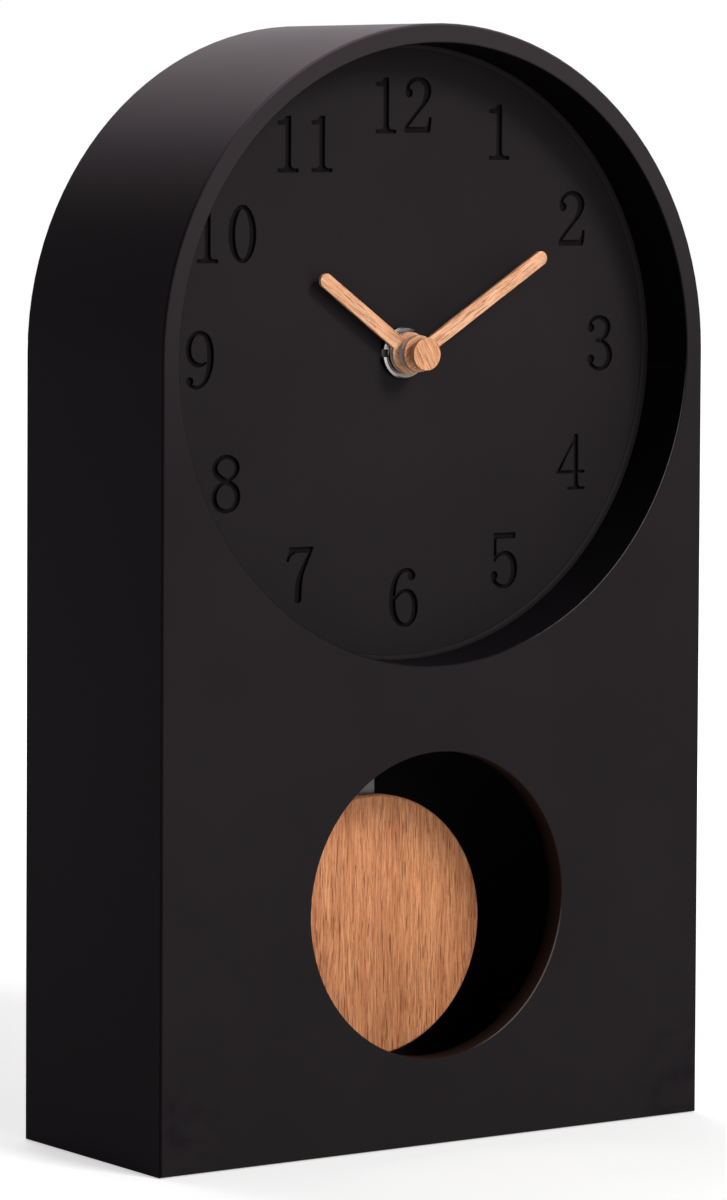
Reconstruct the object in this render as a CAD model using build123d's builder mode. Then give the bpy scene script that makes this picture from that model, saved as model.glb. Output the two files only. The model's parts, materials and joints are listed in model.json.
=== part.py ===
from build123d import *
import os
from math import cos, pi, radians, sin

# Desk pendulum clock: an arched case with a sunk dial, wooden hands, and a wooden bob behind a round opening.
# Millimetres. The origin is the middle of the footprint, +Z is up, and the front faces -Y.
# Depths are counted from the front face into the case, so a larger depth lies further back.

# Driving sizes of the whole clock
case_width = 150.0
case_height = 255.0
case_depth = 57.5
rim_width = 4.5
recess_depth = 16.0
bob_depth = 26.4
bob_drop = 8.0

# Boards of the case
front_thickness = 5.0
dial_thickness = 3.0
back_thickness = 3.0
base_thickness = 6.0
collar_wall = 3.0
board_clearance = 0.2
edge_round = 0.6
opening_edge_round = 0.3
back_edge_bevel = 0.6
overrun = 1.0

# Movement, built round one AA cell that lies across it between two contacts
battery_diameter = 14.5
battery_length = 50.5
battery_clearance = 0.4
contact_space = 1.35
movement_depth = 20.0
shell_wall = 1.4
gasket_thickness = 1.0
cover_thickness = 1.4
inner_gap = 0.4
running_gap = 0.05

# Places worked out from the driving sizes
half_width = case_width / 2
arch_height = case_height - half_width
inner_half_width = half_width - rim_width
movement_width = battery_length + 2 * (contact_space + shell_wall)

# The pendulum's opening is centred in the field between the dial and the floor, the bob hangs a little lower
opening_share = 0.64
bob_share = 0.87
lower_field = arch_height - inner_half_width
opening_height = lower_field / 2
opening_diameter = opening_share * lower_field
bob_diameter = bob_share * opening_diameter
bob_height = opening_height - bob_drop
dial_back = recess_depth + dial_thickness
back_front = case_depth - back_thickness
case_front = dial_back + gasket_thickness
case_inside = case_front + shell_wall
case_rear = case_front + movement_depth
cover_rear = case_rear + cover_thickness

# Layout of the movement from the centre down: gear chamber, battery bay, and the pendulum's bay
wheel_tip_share = 1.2
second_teeth, fifth_leaves = 48, 8
second_modules_wide = 124
second_module = movement_width / second_modules_wide
floor_clearance = 0.6
divider = 1.2
pivot_margin = 4.3
bay_drop = 26.0
second_radius = second_module * (second_teeth / 2 + wheel_tip_share)
gear_floor = arch_height - second_radius - floor_clearance
battery_top = gear_floor - divider
battery_bottom = battery_top - battery_diameter - 2 * battery_clearance
bay_top = battery_bottom - divider
pivot_height = bay_top - pivot_margin
movement_half = movement_width / 2
movement_inner = movement_half - shell_wall
movement_top = arch_height + movement_half
movement_bottom = pivot_height - bay_drop


def at_depth(depth):
    """The upright plane at a depth behind the front face: its x is the clock's X, its y is the clock's Z."""
    return Plane.XZ.offset(case_depth / 2 - depth)


def toward(angle, distance, centre=(0, 0)):
    """The point at a distance from a centre, where angle 0 is up and angles grow clockwise, as on a dial."""
    return (centre[0] + distance * sin(radians(angle)), centre[1] + distance * cos(radians(angle)))


def disc_face(depth, radius, centre):
    """A round face at a depth."""
    with BuildSketch(at_depth(depth)) as face:
        with Locations(centre):
            Circle(radius)
    return face.sketch


def ring_face(depth, outer, inner, centre):
    """A round face with a round hole at a depth."""
    with BuildSketch(at_depth(depth)) as face:
        with Locations(centre):
            Circle(outer)
            Circle(inner, mode=Mode.SUBTRACT)
    return face.sketch


def block_face(depth, left, right, bottom, top, corner=0):
    """An upright rectangle between four edges at a depth, with round corners where a radius is given."""
    with BuildSketch(at_depth(depth)) as face:
        with Locations(((left + right) / 2, (bottom + top) / 2)):
            if corner:
                RectangleRounded(right - left, top - bottom, corner)
            else:
                Rectangle(right - left, top - bottom)
    return face.sketch


def arch_face(depth, radius, bottom, springing):
    """A board's outline: two straight sides under a half round whose centre is at the springing height."""
    with BuildSketch(at_depth(depth)) as face:
        with BuildLine():
            foot = Line((-radius, bottom), (radius, bottom))
            right = Line(foot @ 1, (radius, springing))
            crown = CenterArc((0, springing), radius, 0, 180)
            Line(crown @ 1, foot @ 0)
        make_face()
    return face.sketch


dial_centre = (0, arch_height)
opening_centre = (0, opening_height)

# Front board: the arched panel, rounded over at its outline and dial hole, with a crisper pendulum opening
opening_radius = opening_diameter / 2
with BuildPart() as front_board:
    extrude(arch_face(0, half_width, 0, arch_height), amount=-front_thickness)
    extrude(disc_face(0, inner_half_width, dial_centre), amount=-front_thickness, mode=Mode.SUBTRACT)
    fillet(front_board.faces().sort_by(Axis.Y)[0].edges(), edge_round)
    extrude(disc_face(0, opening_radius, opening_centre), amount=-front_thickness, mode=Mode.SUBTRACT)
    front_circles = front_board.faces().sort_by(Axis.Y)[0].edges().filter_by(GeomType.CIRCLE)
    fillet(front_circles.sort_by(SortBy.RADIUS)[0], opening_edge_round)
front_board.part.label = "front_board"

# Side band: one bent wall from foot to foot, behind the front board, as wide as the rim round the dial
with BuildPart() as side_band:
    extrude(arch_face(front_thickness, half_width, 0, arch_height), amount=-(case_depth - front_thickness))
    extrude(
        arch_face(front_thickness, inner_half_width, -overrun, arch_height),
        amount=-(case_depth - front_thickness),
        mode=Mode.SUBTRACT,
    )
    rear_face = side_band.faces().sort_by(Axis.Y)[-1]
    chamfer(rear_face.outer_wire().edges().filter_by(lambda edge: edge.center().Z > 0), back_edge_bevel)
side_band.part.label = "side_band"

# Base board: the floor between the two sides
with BuildPart() as base_board:
    extrude(
        block_face(front_thickness, -inner_half_width, inner_half_width, 0, base_thickness),
        amount=-(back_front - front_thickness),
    )
base_board.part.label = "base_board"

# Recess collar: a crescent wall that carries the round recess on below the arch, with a tip at each side
collar_tip_drop = 5.0
collar_radius = inner_half_width + collar_wall
with BuildPart() as recess_collar:
    extrude(
        ring_face(front_thickness, collar_radius, inner_half_width, dial_centre),
        amount=-(recess_depth - front_thickness),
    )
    extrude(
        block_face(
            front_thickness,
            -inner_half_width,
            inner_half_width,
            arch_height - collar_radius - overrun,
            arch_height - collar_tip_drop,
        ),
        amount=-(recess_depth - front_thickness),
        mode=Mode.INTERSECT,
    )
recess_collar.part.label = "recess_collar"

# Dial board: closes the recess, glued to the collar's back, with the movement's neck through its centre
neck_radius = 4.0
neck_clearance = 0.2
dial_foot = 3.0
with BuildPart() as dial_board:
    extrude(
        arch_face(
            recess_depth,
            inner_half_width - board_clearance,
            arch_height - collar_radius - dial_foot,
            arch_height,
        ),
        amount=-dial_thickness,
    )
    extrude(
        disc_face(recess_depth, neck_radius + neck_clearance, dial_centre),
        amount=-dial_thickness,
        mode=Mode.SUBTRACT,
    )
dial_board.part.label = "dial_board"

# Screw blocks: six glue blocks inside the band, trimmed to its curve, drilled for the back's screws
screw_inset = 6.0
screw_low = 13.0
screw_middle = 112.0
screw_spread_angle = 42.0
block_side = 14.0
block_depth = 12.5
screw_radius = 1.2
screw_head_radius = 2.4
screw_clearance = 0.05
screw_length = 11.0
screw_column = inner_half_width - screw_inset
screw_places = [
    (-screw_column, screw_low),
    (screw_column, screw_low),
    (-screw_column, screw_middle),
    (screw_column, screw_middle),
    toward(-screw_spread_angle, screw_column, dial_centre),
    toward(screw_spread_angle, screw_column, dial_centre),
]
screw_turns = [0, 0, 0, 0, screw_spread_angle, -screw_spread_angle]
block_front = back_front - block_depth
with BuildPart() as screw_blocks:
    with BuildSketch(at_depth(block_front)):
        for place, turn in zip(screw_places, screw_turns):
            with Locations(place):
                Rectangle(block_side, block_side, rotation=turn)
    extrude(amount=-block_depth)
    extrude(
        arch_face(block_front, inner_half_width, base_thickness, arch_height),
        amount=-block_depth,
        mode=Mode.INTERSECT,
    )
    for place in screw_places:
        extrude(
            disc_face(back_front, screw_radius + screw_clearance, place),
            amount=screw_length,
            mode=Mode.SUBTRACT,
        )
screw_blocks.part.label = "screw_blocks"

# Back board: let in flush between the sides, with a window onto the movement and countersunk screw holes
window_margin = 4.0
window_corner = 4.0
countersink_angle = 90.0
from_behind = Plane(origin=(0, case_depth / 2, 0), x_dir=(-1, 0, 0), z_dir=(0, 1, 0))
with BuildPart(from_behind) as back_board:
    extrude(
        arch_face(back_front, inner_half_width - board_clearance, board_clearance, arch_height),
        amount=-back_thickness,
    )
    extrude(
        block_face(
            back_front,
            -movement_half - window_margin,
            movement_half + window_margin,
            movement_bottom - window_margin,
            movement_top + window_margin,
            window_corner,
        ),
        amount=-back_thickness,
        mode=Mode.SUBTRACT,
    )
    with Locations(*screw_places):
        CounterSinkHole(
            screw_radius + screw_clearance,
            screw_head_radius + screw_clearance,
            counter_sink_angle=countersink_angle,
        )
back_board.part.label = "back_board"

# Back screws: countersunk heads flush with the back, shanks in the glue blocks
screw_head_height = screw_head_radius - screw_radius
head_down = (Align.CENTER, Align.CENTER, Align.MAX)
with BuildPart(from_behind) as back_screws:
    with Locations(*screw_places):
        Cone(screw_radius, screw_head_radius, screw_head_height, align=head_down)
        Cylinder(screw_radius, back_thickness + screw_length - overrun, align=head_down)
back_screws.part.label = "back_screws"

# Nut and washer in front of the dial, on the movement's neck
washer_thickness = 0.4
washer_radius = 5.7
nut_thickness = 1.6
nut_radius = 6.0
nut_chamfer = 0.4
nut_slot_width = 1.8
nut_slot_length = 1.3
washer_front = recess_depth - washer_thickness
nut_front = washer_front - nut_thickness
with BuildPart() as dial_washer:
    extrude(
        ring_face(washer_front, washer_radius, neck_radius + screw_clearance, dial_centre),
        amount=-washer_thickness,
    )
dial_washer.part.label = "dial_washer"

with BuildPart() as hand_nut:
    extrude(
        ring_face(nut_front, nut_radius, neck_radius + screw_clearance, dial_centre),
        amount=-nut_thickness,
    )
    nut_rim = hand_nut.faces().sort_by(Axis.Y)[0].edges().sort_by(SortBy.RADIUS)[-1]
    chamfer(nut_rim, nut_chamfer)
    with BuildSketch(at_depth(nut_front)):
        for side in (-1, 1):
            with Locations((side * nut_radius, arch_height)):
                Rectangle(2 * nut_slot_length, nut_slot_width)
    extrude(amount=-nut_thickness, mode=Mode.SUBTRACT)
hand_nut.part.label = "hand_nut"

# Threaded bush: the brass neck through the dial, flush with the nut, flanged inside the movement's front wall
bush_bore = 2.6
bush_flange_radius = 5.5
bush_flange_thickness = 0.5
with BuildPart() as threaded_bush:
    extrude(disc_face(nut_front, neck_radius, dial_centre), amount=-(case_inside - nut_front))
    extrude(disc_face(case_inside, bush_flange_radius, dial_centre), amount=-bush_flange_thickness)
    extrude(
        disc_face(nut_front, bush_bore, dial_centre),
        amount=-(case_inside + bush_flange_thickness - nut_front),
        mode=Mode.SUBTRACT,
    )
threaded_bush.part.label = "threaded_bush"

# Gasket between the dial board and the movement
gasket_radius = 9.0
with BuildPart() as movement_gasket:
    extrude(
        ring_face(dial_back, gasket_radius, neck_radius + neck_clearance, dial_centre),
        amount=-gasket_thickness,
    )
movement_gasket.part.label = "movement_gasket"

# Train: six layers of wheels behind the front wall, each a wheel's thickness and a gap further back
layer_step = 1.6
first_layer_gap = 0.7
wheel_thickness = 0.9
pinion_overlap = 0.2
end_shake = 0.3
hour_layer, motion_layer, centre_layer, third_layer, second_layer, fifth_layer, bridge_front = [
    case_inside + first_layer_gap + layer_step * index for index in range(7)
]
centre_teeth, third_leaves = 60, 8
third_teeth, second_leaves = 64, 8
fifth_teeth, rotor_leaves = 40, 8
cannon_leaves, minute_teeth = 10, 30
minute_leaves, hour_teeth = 8, 32
setting_leaves = 10

# A module is a pitch circle's diameter over its number of teeth; each counts how often it goes into the width
motion_modules_wide = 112
centre_modules_wide = 155
fifth_modules_wide = 172
motion_module = movement_width / motion_modules_wide
centre_module = movement_width / centre_modules_wide
fifth_module = movement_width / fifth_modules_wide
third_module = centre_module * (centre_teeth + third_leaves) / (third_teeth + second_leaves)

# Directions of the arbors as on a dial, and their distances from the pitch circles that roll together
minute_angle = 0.0
third_angle = 50.0
fifth_angle = 255.0
rotor_angle = 300.0
minute_place = toward(minute_angle, motion_module * (cannon_leaves + minute_teeth) / 2, dial_centre)
setting_place = toward(minute_angle, motion_module * (setting_leaves + minute_teeth) / 2, minute_place)
third_place = toward(third_angle, centre_module * (centre_teeth + third_leaves) / 2, dial_centre)
fifth_place = toward(fifth_angle, second_module * (second_teeth + fifth_leaves) / 2, dial_centre)
rotor_place = toward(rotor_angle, fifth_module * (fifth_teeth + rotor_leaves) / 2, fifth_place)

# Tooth proportions in modules, after clock practice: wheels have rounded points, pinions have thin leaves
# with straight radial flanks and round tips, and the flanks keep a wide backlash
wheel_root_share = 1.45
wheel_width_share = 1.57
point_width_share = 0.5
leaf_tip_share = 0.65
leaf_root_share = 1.35
leaf_width_share = 1.1
leaf_point_share = 0.35


def facing(angle):
    """Turns a dial angle, clockwise from the top, into radians counter-clockwise from +X."""
    return radians(90 - angle)


def meshed(teeth, tooth_angle, leaves, direction):
    """The angle of a leaf that stands in a tooth space of the wheel, across the line of centres.

    The wheel's nearest space lies off that line by an angle. Both pitch circles move the same arc, in
    opposite senses, so the leaf lies off the line by that angle times the ratio, the other way.
    """
    pitch = 2 * pi / teeth
    offset = (tooth_angle + pitch / 2 - direction + pitch / 2) % pitch - pitch / 2
    return direction + pi - offset * teeth / leaves


def polar(centre, radius, angle):
    """The point at a radius and an angle in radians from +X."""
    return (centre[0] + radius * cos(angle), centre[1] + radius * sin(angle))


def toothed_face(depth, centre, teeth, first_angle, root, pitch_radius, tip, width_share, point_share):
    """A toothed disc: its teeth have radial flanks up to the pitch circle, then sides that close in.

    The shares are half a tooth's width and half its tip's width, in radians times the number of teeth.
    """
    flank = width_share / teeth
    point = point_share / teeth
    tooth_points = [
        (root, -flank),
        (pitch_radius, -flank),
        (tip, -point),
        (tip, point),
        (pitch_radius, flank),
        (root, flank),
    ]
    outline = [
        polar(centre, radius, first_angle + 2 * pi * tooth / teeth + turn)
        for tooth in range(teeth)
        for radius, turn in tooth_points
    ]
    with BuildSketch(at_depth(depth)) as face:
        with BuildLine():
            Polyline(*outline, close=True)
        make_face()
    return face.sketch


def wheel_face(depth, centre, teeth, module, tooth_angle):
    """A wheel's outline at a depth, with full rounded teeth."""
    pitch_radius = module * teeth / 2
    root = pitch_radius - wheel_root_share * module
    tip = pitch_radius + wheel_tip_share * module
    return toothed_face(
        depth, centre, teeth, tooth_angle, root,
        pitch_radius, tip, wheel_width_share, point_width_share,
    )


def pinion_face(depth, centre, leaves, module, leaf_angle):
    """A pinion's outline at a depth, with thin leaves."""
    pitch_radius = module * leaves / 2
    root = pitch_radius - leaf_root_share * module
    tip = pitch_radius + leaf_tip_share * module
    return toothed_face(
        depth, centre, leaves, leaf_angle, root,
        pitch_radius, tip, leaf_width_share, leaf_point_share,
    )


pinion_length = wheel_thickness + 2 * pinion_overlap
centre_tooth = facing(third_angle) + pi / centre_teeth
hour_tooth = facing(minute_angle) + pi / hour_teeth
minute_leaf = meshed(hour_teeth, hour_tooth, minute_leaves, facing(minute_angle))
minute_tooth = facing(minute_angle) + pi + pi / minute_teeth
cannon_leaf = meshed(minute_teeth, minute_tooth, cannon_leaves, facing(minute_angle) + pi)
setting_leaf = meshed(minute_teeth, minute_tooth, setting_leaves, facing(minute_angle))
third_leaf = meshed(centre_teeth, centre_tooth, third_leaves, facing(third_angle))
third_tooth = facing(third_angle) + pi + pi / third_teeth
second_leaf = meshed(third_teeth, third_tooth, second_leaves, facing(third_angle) + pi)
second_tooth = facing(fifth_angle) + pi / second_teeth
fifth_leaf = meshed(second_teeth, second_tooth, fifth_leaves, facing(fifth_angle))
fifth_tooth = facing(rotor_angle) + pi / fifth_teeth
rotor_leaf = meshed(fifth_teeth, fifth_tooth, rotor_leaves, facing(rotor_angle))

# Hands, at the time that the clock shows: straight bars with round tips on round hubs
hand_thickness = 0.8
hand_width = 3.3
hour_length = 30.3
minute_length = 42.1
hour_angle = 305.8
minute_hand_angle = 58.1
hour_hub_radius = 4.8
minute_hub_radius = 4.2
hour_stand_off = 1.7
minute_stand_off = 5.3
cap_stand_off = 8.3
hour_front = nut_front - hour_stand_off
minute_front = nut_front - minute_stand_off
cap_front = nut_front - cap_stand_off
tube_radius = bush_bore - running_gap
arbor_radius = 1.8
collet_wall = 0.6
collet_flange = 0.5
collet_depth = hand_thickness + collet_flange


def hand_face(depth, length, hub_radius, bore, angle):
    """A hand's outline at a depth: a drilled hub, and a bar with a round tip at the given length."""
    with BuildSketch(at_depth(depth)) as face:
        with Locations(dial_centre):
            Circle(hub_radius)
        with Locations(toward(angle, (length - hand_width / 2) / 2, dial_centre)):
            SlotOverall(length + hand_width / 2, hand_width, rotation=90 - angle)
        with Locations(dial_centre):
            Circle(bore, mode=Mode.SUBTRACT)
    return face.sketch


with BuildPart() as hour_hand:
    extrude(
        hand_face(hour_front, hour_length, hour_hub_radius, tube_radius + collet_wall, hour_angle),
        amount=-hand_thickness,
    )
hour_hand.part.label = "hour_hand"

with BuildPart() as minute_hand:
    extrude(
        hand_face(
            minute_front,
            minute_length,
            minute_hub_radius,
            arbor_radius + collet_wall,
            minute_hand_angle,
        ),
        amount=-hand_thickness,
    )
minute_hand.part.label = "minute_hand"

# Collets: metal sleeves pressed into the hubs, each with a flange behind its hand
with BuildPart() as hour_collet:
    extrude(ring_face(hour_front, tube_radius + collet_wall, tube_radius, dial_centre), amount=-collet_depth)
    extrude(
        ring_face(hour_front + hand_thickness, hour_hub_radius, tube_radius, dial_centre),
        amount=-collet_flange,
    )
hour_collet.part.label = "hour_collet"

with BuildPart() as minute_collet:
    extrude(
        ring_face(minute_front, arbor_radius + collet_wall, arbor_radius, dial_centre),
        amount=-collet_depth,
    )
    extrude(
        ring_face(minute_front + hand_thickness, minute_hub_radius, arbor_radius, dial_centre),
        amount=-collet_flange,
    )
minute_collet.part.label = "minute_collet"

# Cap: a thin wooden disc with a short socket, pushed onto the arbor's tip
cap_radius = 3.7
cap_thickness = 1.0
cap_socket_radius = 1.9
cap_socket_depth = 1.4
tip_radius = 1.0
with BuildPart() as hand_cap:
    extrude(disc_face(cap_front, cap_radius, dial_centre), amount=-cap_thickness)
    extrude(
        ring_face(cap_front + cap_thickness, cap_socket_radius, tip_radius, dial_centre),
        amount=-cap_socket_depth,
    )
hand_cap.part.label = "hand_cap"

# Hour wheel: a toothed disc on a tube that runs in the bush and carries the hour hand
tube_bore = arbor_radius + running_gap
with BuildPart() as hour_wheel:
    extrude(
        wheel_face(hour_layer, dial_centre, hour_teeth, motion_module, hour_tooth),
        amount=-wheel_thickness,
    )
    extrude(disc_face(hour_front, tube_radius, dial_centre), amount=-(hour_layer - hour_front))
    extrude(
        disc_face(hour_front, tube_bore, dial_centre),
        amount=-(hour_layer + wheel_thickness - hour_front),
        mode=Mode.SUBTRACT,
    )
hour_wheel.part.label = "hour_wheel"

# Minute arbor: carries the minute hand and the cap in front, the cannon pinion behind the hour wheel, and
# the centre wheel on its thin rear end, which is drilled for the second wheel's pivot
seat_radius = 1.0
pivot_radius = 0.4
pivot_length = 0.8
pivot_bore = pivot_radius + running_gap
arbor_shoulder = motion_layer - pinion_overlap
arbor_rear = centre_layer + wheel_thickness + pinion_overlap
with BuildPart() as minute_arbor:
    extrude(disc_face(cap_front + cap_thickness, tip_radius, dial_centre), amount=-(minute_front - cap_front))
    extrude(disc_face(minute_front, arbor_radius, dial_centre), amount=-(arbor_shoulder - minute_front))
    extrude(
        pinion_face(motion_layer - pinion_overlap, dial_centre, cannon_leaves, motion_module, cannon_leaf),
        amount=-pinion_length,
    )
    extrude(disc_face(arbor_shoulder, seat_radius, dial_centre), amount=-(arbor_rear - arbor_shoulder))
    extrude(disc_face(arbor_rear, pivot_bore, dial_centre), amount=pivot_length, mode=Mode.SUBTRACT)
minute_arbor.part.label = "minute_arbor"

# Minute wheel: turns on a post of the case, its pinion drives the hour wheel
post_radius = 0.7
with BuildPart() as minute_wheel:
    extrude(
        pinion_face(hour_layer - pinion_overlap, minute_place, minute_leaves, motion_module, minute_leaf),
        amount=-(motion_layer - hour_layer + pinion_overlap),
    )
    extrude(
        wheel_face(motion_layer, minute_place, minute_teeth, motion_module, minute_tooth),
        amount=-wheel_thickness,
    )
    extrude(
        disc_face(hour_layer - pinion_overlap, post_radius + running_gap, minute_place),
        amount=-(motion_layer - hour_layer + pinion_overlap + wheel_thickness),
        mode=Mode.SUBTRACT,
    )
minute_wheel.part.label = "minute_wheel"

# Centre wheel: sits by friction on the arbor's rear end, so the hands can be set while it stands still
with BuildPart() as centre_wheel:
    extrude(
        wheel_face(centre_layer, dial_centre, centre_teeth, centre_module, centre_tooth),
        amount=-wheel_thickness,
    )
    extrude(
        disc_face(centre_layer, seat_radius + running_gap, dial_centre),
        amount=-wheel_thickness,
        mode=Mode.SUBTRACT,
    )
centre_wheel.part.label = "centre_wheel"

# Third wheel: its pinion meets the centre wheel, its teeth the second wheel's pinion
staff_radius = 0.6
rear_pivot_end = bridge_front + pivot_length
third_boss_end = centre_layer - pinion_overlap - end_shake
with BuildPart() as third_wheel:
    extrude(
        disc_face(third_boss_end - pivot_length + end_shake, pivot_radius, third_place),
        amount=-(rear_pivot_end - third_boss_end + pivot_length - end_shake),
    )
    extrude(
        pinion_face(centre_layer - pinion_overlap, third_place, third_leaves, centre_module, third_leaf),
        amount=-pinion_length,
    )
    extrude(disc_face(centre_layer, staff_radius, third_place), amount=-(third_layer - centre_layer))
    extrude(
        wheel_face(third_layer, third_place, third_teeth, third_module, third_tooth),
        amount=-wheel_thickness,
    )
third_wheel.part.label = "third_wheel"

# Second wheel: runs once a minute behind the minute arbor, front pivot in it and rear pivot in the bridge
with BuildPart() as second_wheel:
    extrude(
        disc_face(arbor_rear - pivot_length + end_shake, pivot_radius, dial_centre),
        amount=-(rear_pivot_end - arbor_rear + pivot_length - end_shake),
    )
    extrude(
        pinion_face(third_layer - pinion_overlap, dial_centre, second_leaves, third_module, second_leaf),
        amount=-pinion_length,
    )
    extrude(disc_face(third_layer, staff_radius, dial_centre), amount=-(second_layer - third_layer))
    extrude(
        wheel_face(second_layer, dial_centre, second_teeth, second_module, second_tooth),
        amount=-wheel_thickness,
    )
second_wheel.part.label = "second_wheel"

# Fifth wheel: between the rotor and the second wheel
fifth_boss_end = second_layer - pinion_overlap - end_shake
with BuildPart() as fifth_wheel:
    extrude(
        disc_face(fifth_boss_end - pivot_length + end_shake, pivot_radius, fifth_place),
        amount=-(rear_pivot_end - fifth_boss_end + pivot_length - end_shake),
    )
    extrude(
        pinion_face(second_layer - pinion_overlap, fifth_place, fifth_leaves, second_module, fifth_leaf),
        amount=-pinion_length,
    )
    extrude(disc_face(second_layer, staff_radius, fifth_place), amount=-(fifth_layer - second_layer))
    extrude(
        wheel_face(fifth_layer, fifth_place, fifth_teeth, fifth_module, fifth_tooth),
        amount=-wheel_thickness,
    )
fifth_wheel.part.label = "fifth_wheel"

# Rotor: a pinion on a shaft that passes the bridge and carries the magnet inside the stator's bore
bridge_thickness = 1.4
bridge_rear = bridge_front + bridge_thickness
stand_off = 2.9
stator_front = bridge_rear + stand_off
stator_thickness = 1.0
magnet_radius = 2.8
magnet_thickness = 1.6
magnet_front = stator_front + stator_thickness / 2 - magnet_thickness / 2
magnet_rear = magnet_front + magnet_thickness
rotor_boss_end = fifth_layer - pinion_overlap - end_shake
rotor_cock = magnet_rear + end_shake
with BuildPart() as rotor:
    extrude(
        disc_face(rotor_boss_end - pivot_length + end_shake, pivot_radius, rotor_place),
        amount=-(magnet_rear + pivot_length - rotor_boss_end + pivot_length - end_shake),
    )
    extrude(
        pinion_face(fifth_layer - pinion_overlap, rotor_place, rotor_leaves, fifth_module, rotor_leaf),
        amount=-pinion_length,
    )
    extrude(disc_face(fifth_layer, staff_radius, rotor_place), amount=-(magnet_front - fifth_layer))
rotor.part.label = "rotor"

with BuildPart() as rotor_magnet:
    extrude(ring_face(magnet_front, magnet_radius, pivot_radius, rotor_place), amount=-magnet_thickness)
rotor_magnet.part.label = "rotor_magnet"

# Setting knob: outside the rear cover, its shaft reaches forward to a pinion on the minute wheel
knob_radius = 5.0
knob_thickness = 4.0
knob_gap = 0.5
knob_flute_radius = 0.7
knob_flutes = 16
shaft_radius = 1.2
knob_front = cover_rear + knob_gap
setting_boss_end = motion_layer - pinion_overlap - end_shake
with BuildPart() as setting_knob:
    extrude(
        disc_face(setting_boss_end - pivot_length + end_shake, pivot_radius, setting_place),
        amount=-(motion_layer - setting_boss_end + pivot_length - end_shake),
    )
    extrude(
        pinion_face(
            motion_layer - pinion_overlap,
            setting_place,
            setting_leaves,
            motion_module,
            setting_leaf,
        ),
        amount=-pinion_length,
    )
    extrude(disc_face(motion_layer, shaft_radius, setting_place), amount=-(knob_front - motion_layer))
    extrude(disc_face(knob_front, knob_radius, setting_place), amount=-knob_thickness)
    with BuildSketch(at_depth(knob_front)):
        with Locations(setting_place):
            with PolarLocations(knob_radius, knob_flutes):
                Circle(knob_flute_radius)
    extrude(amount=-knob_thickness, mode=Mode.SUBTRACT)
setting_knob.part.label = "setting_knob"

# Movement case: a moulded tray open to the rear, with a gear chamber, a battery bay below it, and at the
# bottom a pendulum bay that is set back from the front and open underneath
case_corner = 3.0
bay_inside = 27.5
boss_radius = 1.0
bridge_post_radius = 2.0
bridge_post_inset = 3.1
bridge_screw_radius = 0.7
post_screw_depth = 6.0
gear_ceiling = movement_top - shell_wall
bay_front = bay_inside - shell_wall
chamber_depth = case_rear - case_inside
bridge_post_places = [
    (side * (movement_inner - bridge_post_inset), height)
    for side in (-1, 1)
    for height in (gear_floor + bridge_post_inset, gear_ceiling - bridge_post_inset)
]
cover_post_radius = 1.6
cover_post_inset = 1.3
cover_post_spread = 6.0
cover_screw_radius = 0.7
lip_depth = 1.0
upper_cover_posts = [(side * cover_post_spread, gear_ceiling - cover_post_inset) for side in (-1, 1)]
cover_post_column = movement_inner - cover_post_inset
lower_cover_posts = [(side * cover_post_column, bay_top - cover_post_inset) for side in (-1, 1)]
cover_post_places = upper_cover_posts + lower_cover_posts
pivot_bosses = [
    (third_place, third_boss_end),
    (fifth_place, fifth_boss_end),
    (rotor_place, rotor_boss_end),
    (setting_place, setting_boss_end),
]

# Pendulum driver: the arm, its pin, and where the rod hangs, all below the battery bay
magnet_drop = 12.0
peg_drop = 21.0
driver_width = 6.0
driver_thickness = 2.4
driver_hub_radius = 2.6
driver_pin_radius = 0.75
pin_boss_radius = 2.0
pin_seat = 0.7
rod_thickness = 0.8
rod_width = 5.0
bob_thickness = 3.0
rod_front = bob_depth + bob_thickness
driver_front = rod_front + rod_thickness
driver_bore = driver_pin_radius + running_gap
driver_place = (0, pivot_height)
magnet_place = (0, pivot_height - magnet_drop)
peg_place = (0, pivot_height - peg_drop)
front_boss_end = driver_front - end_shake
hub_length = 5.7
rear_boss_end = driver_front + hub_length + end_shake

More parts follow.
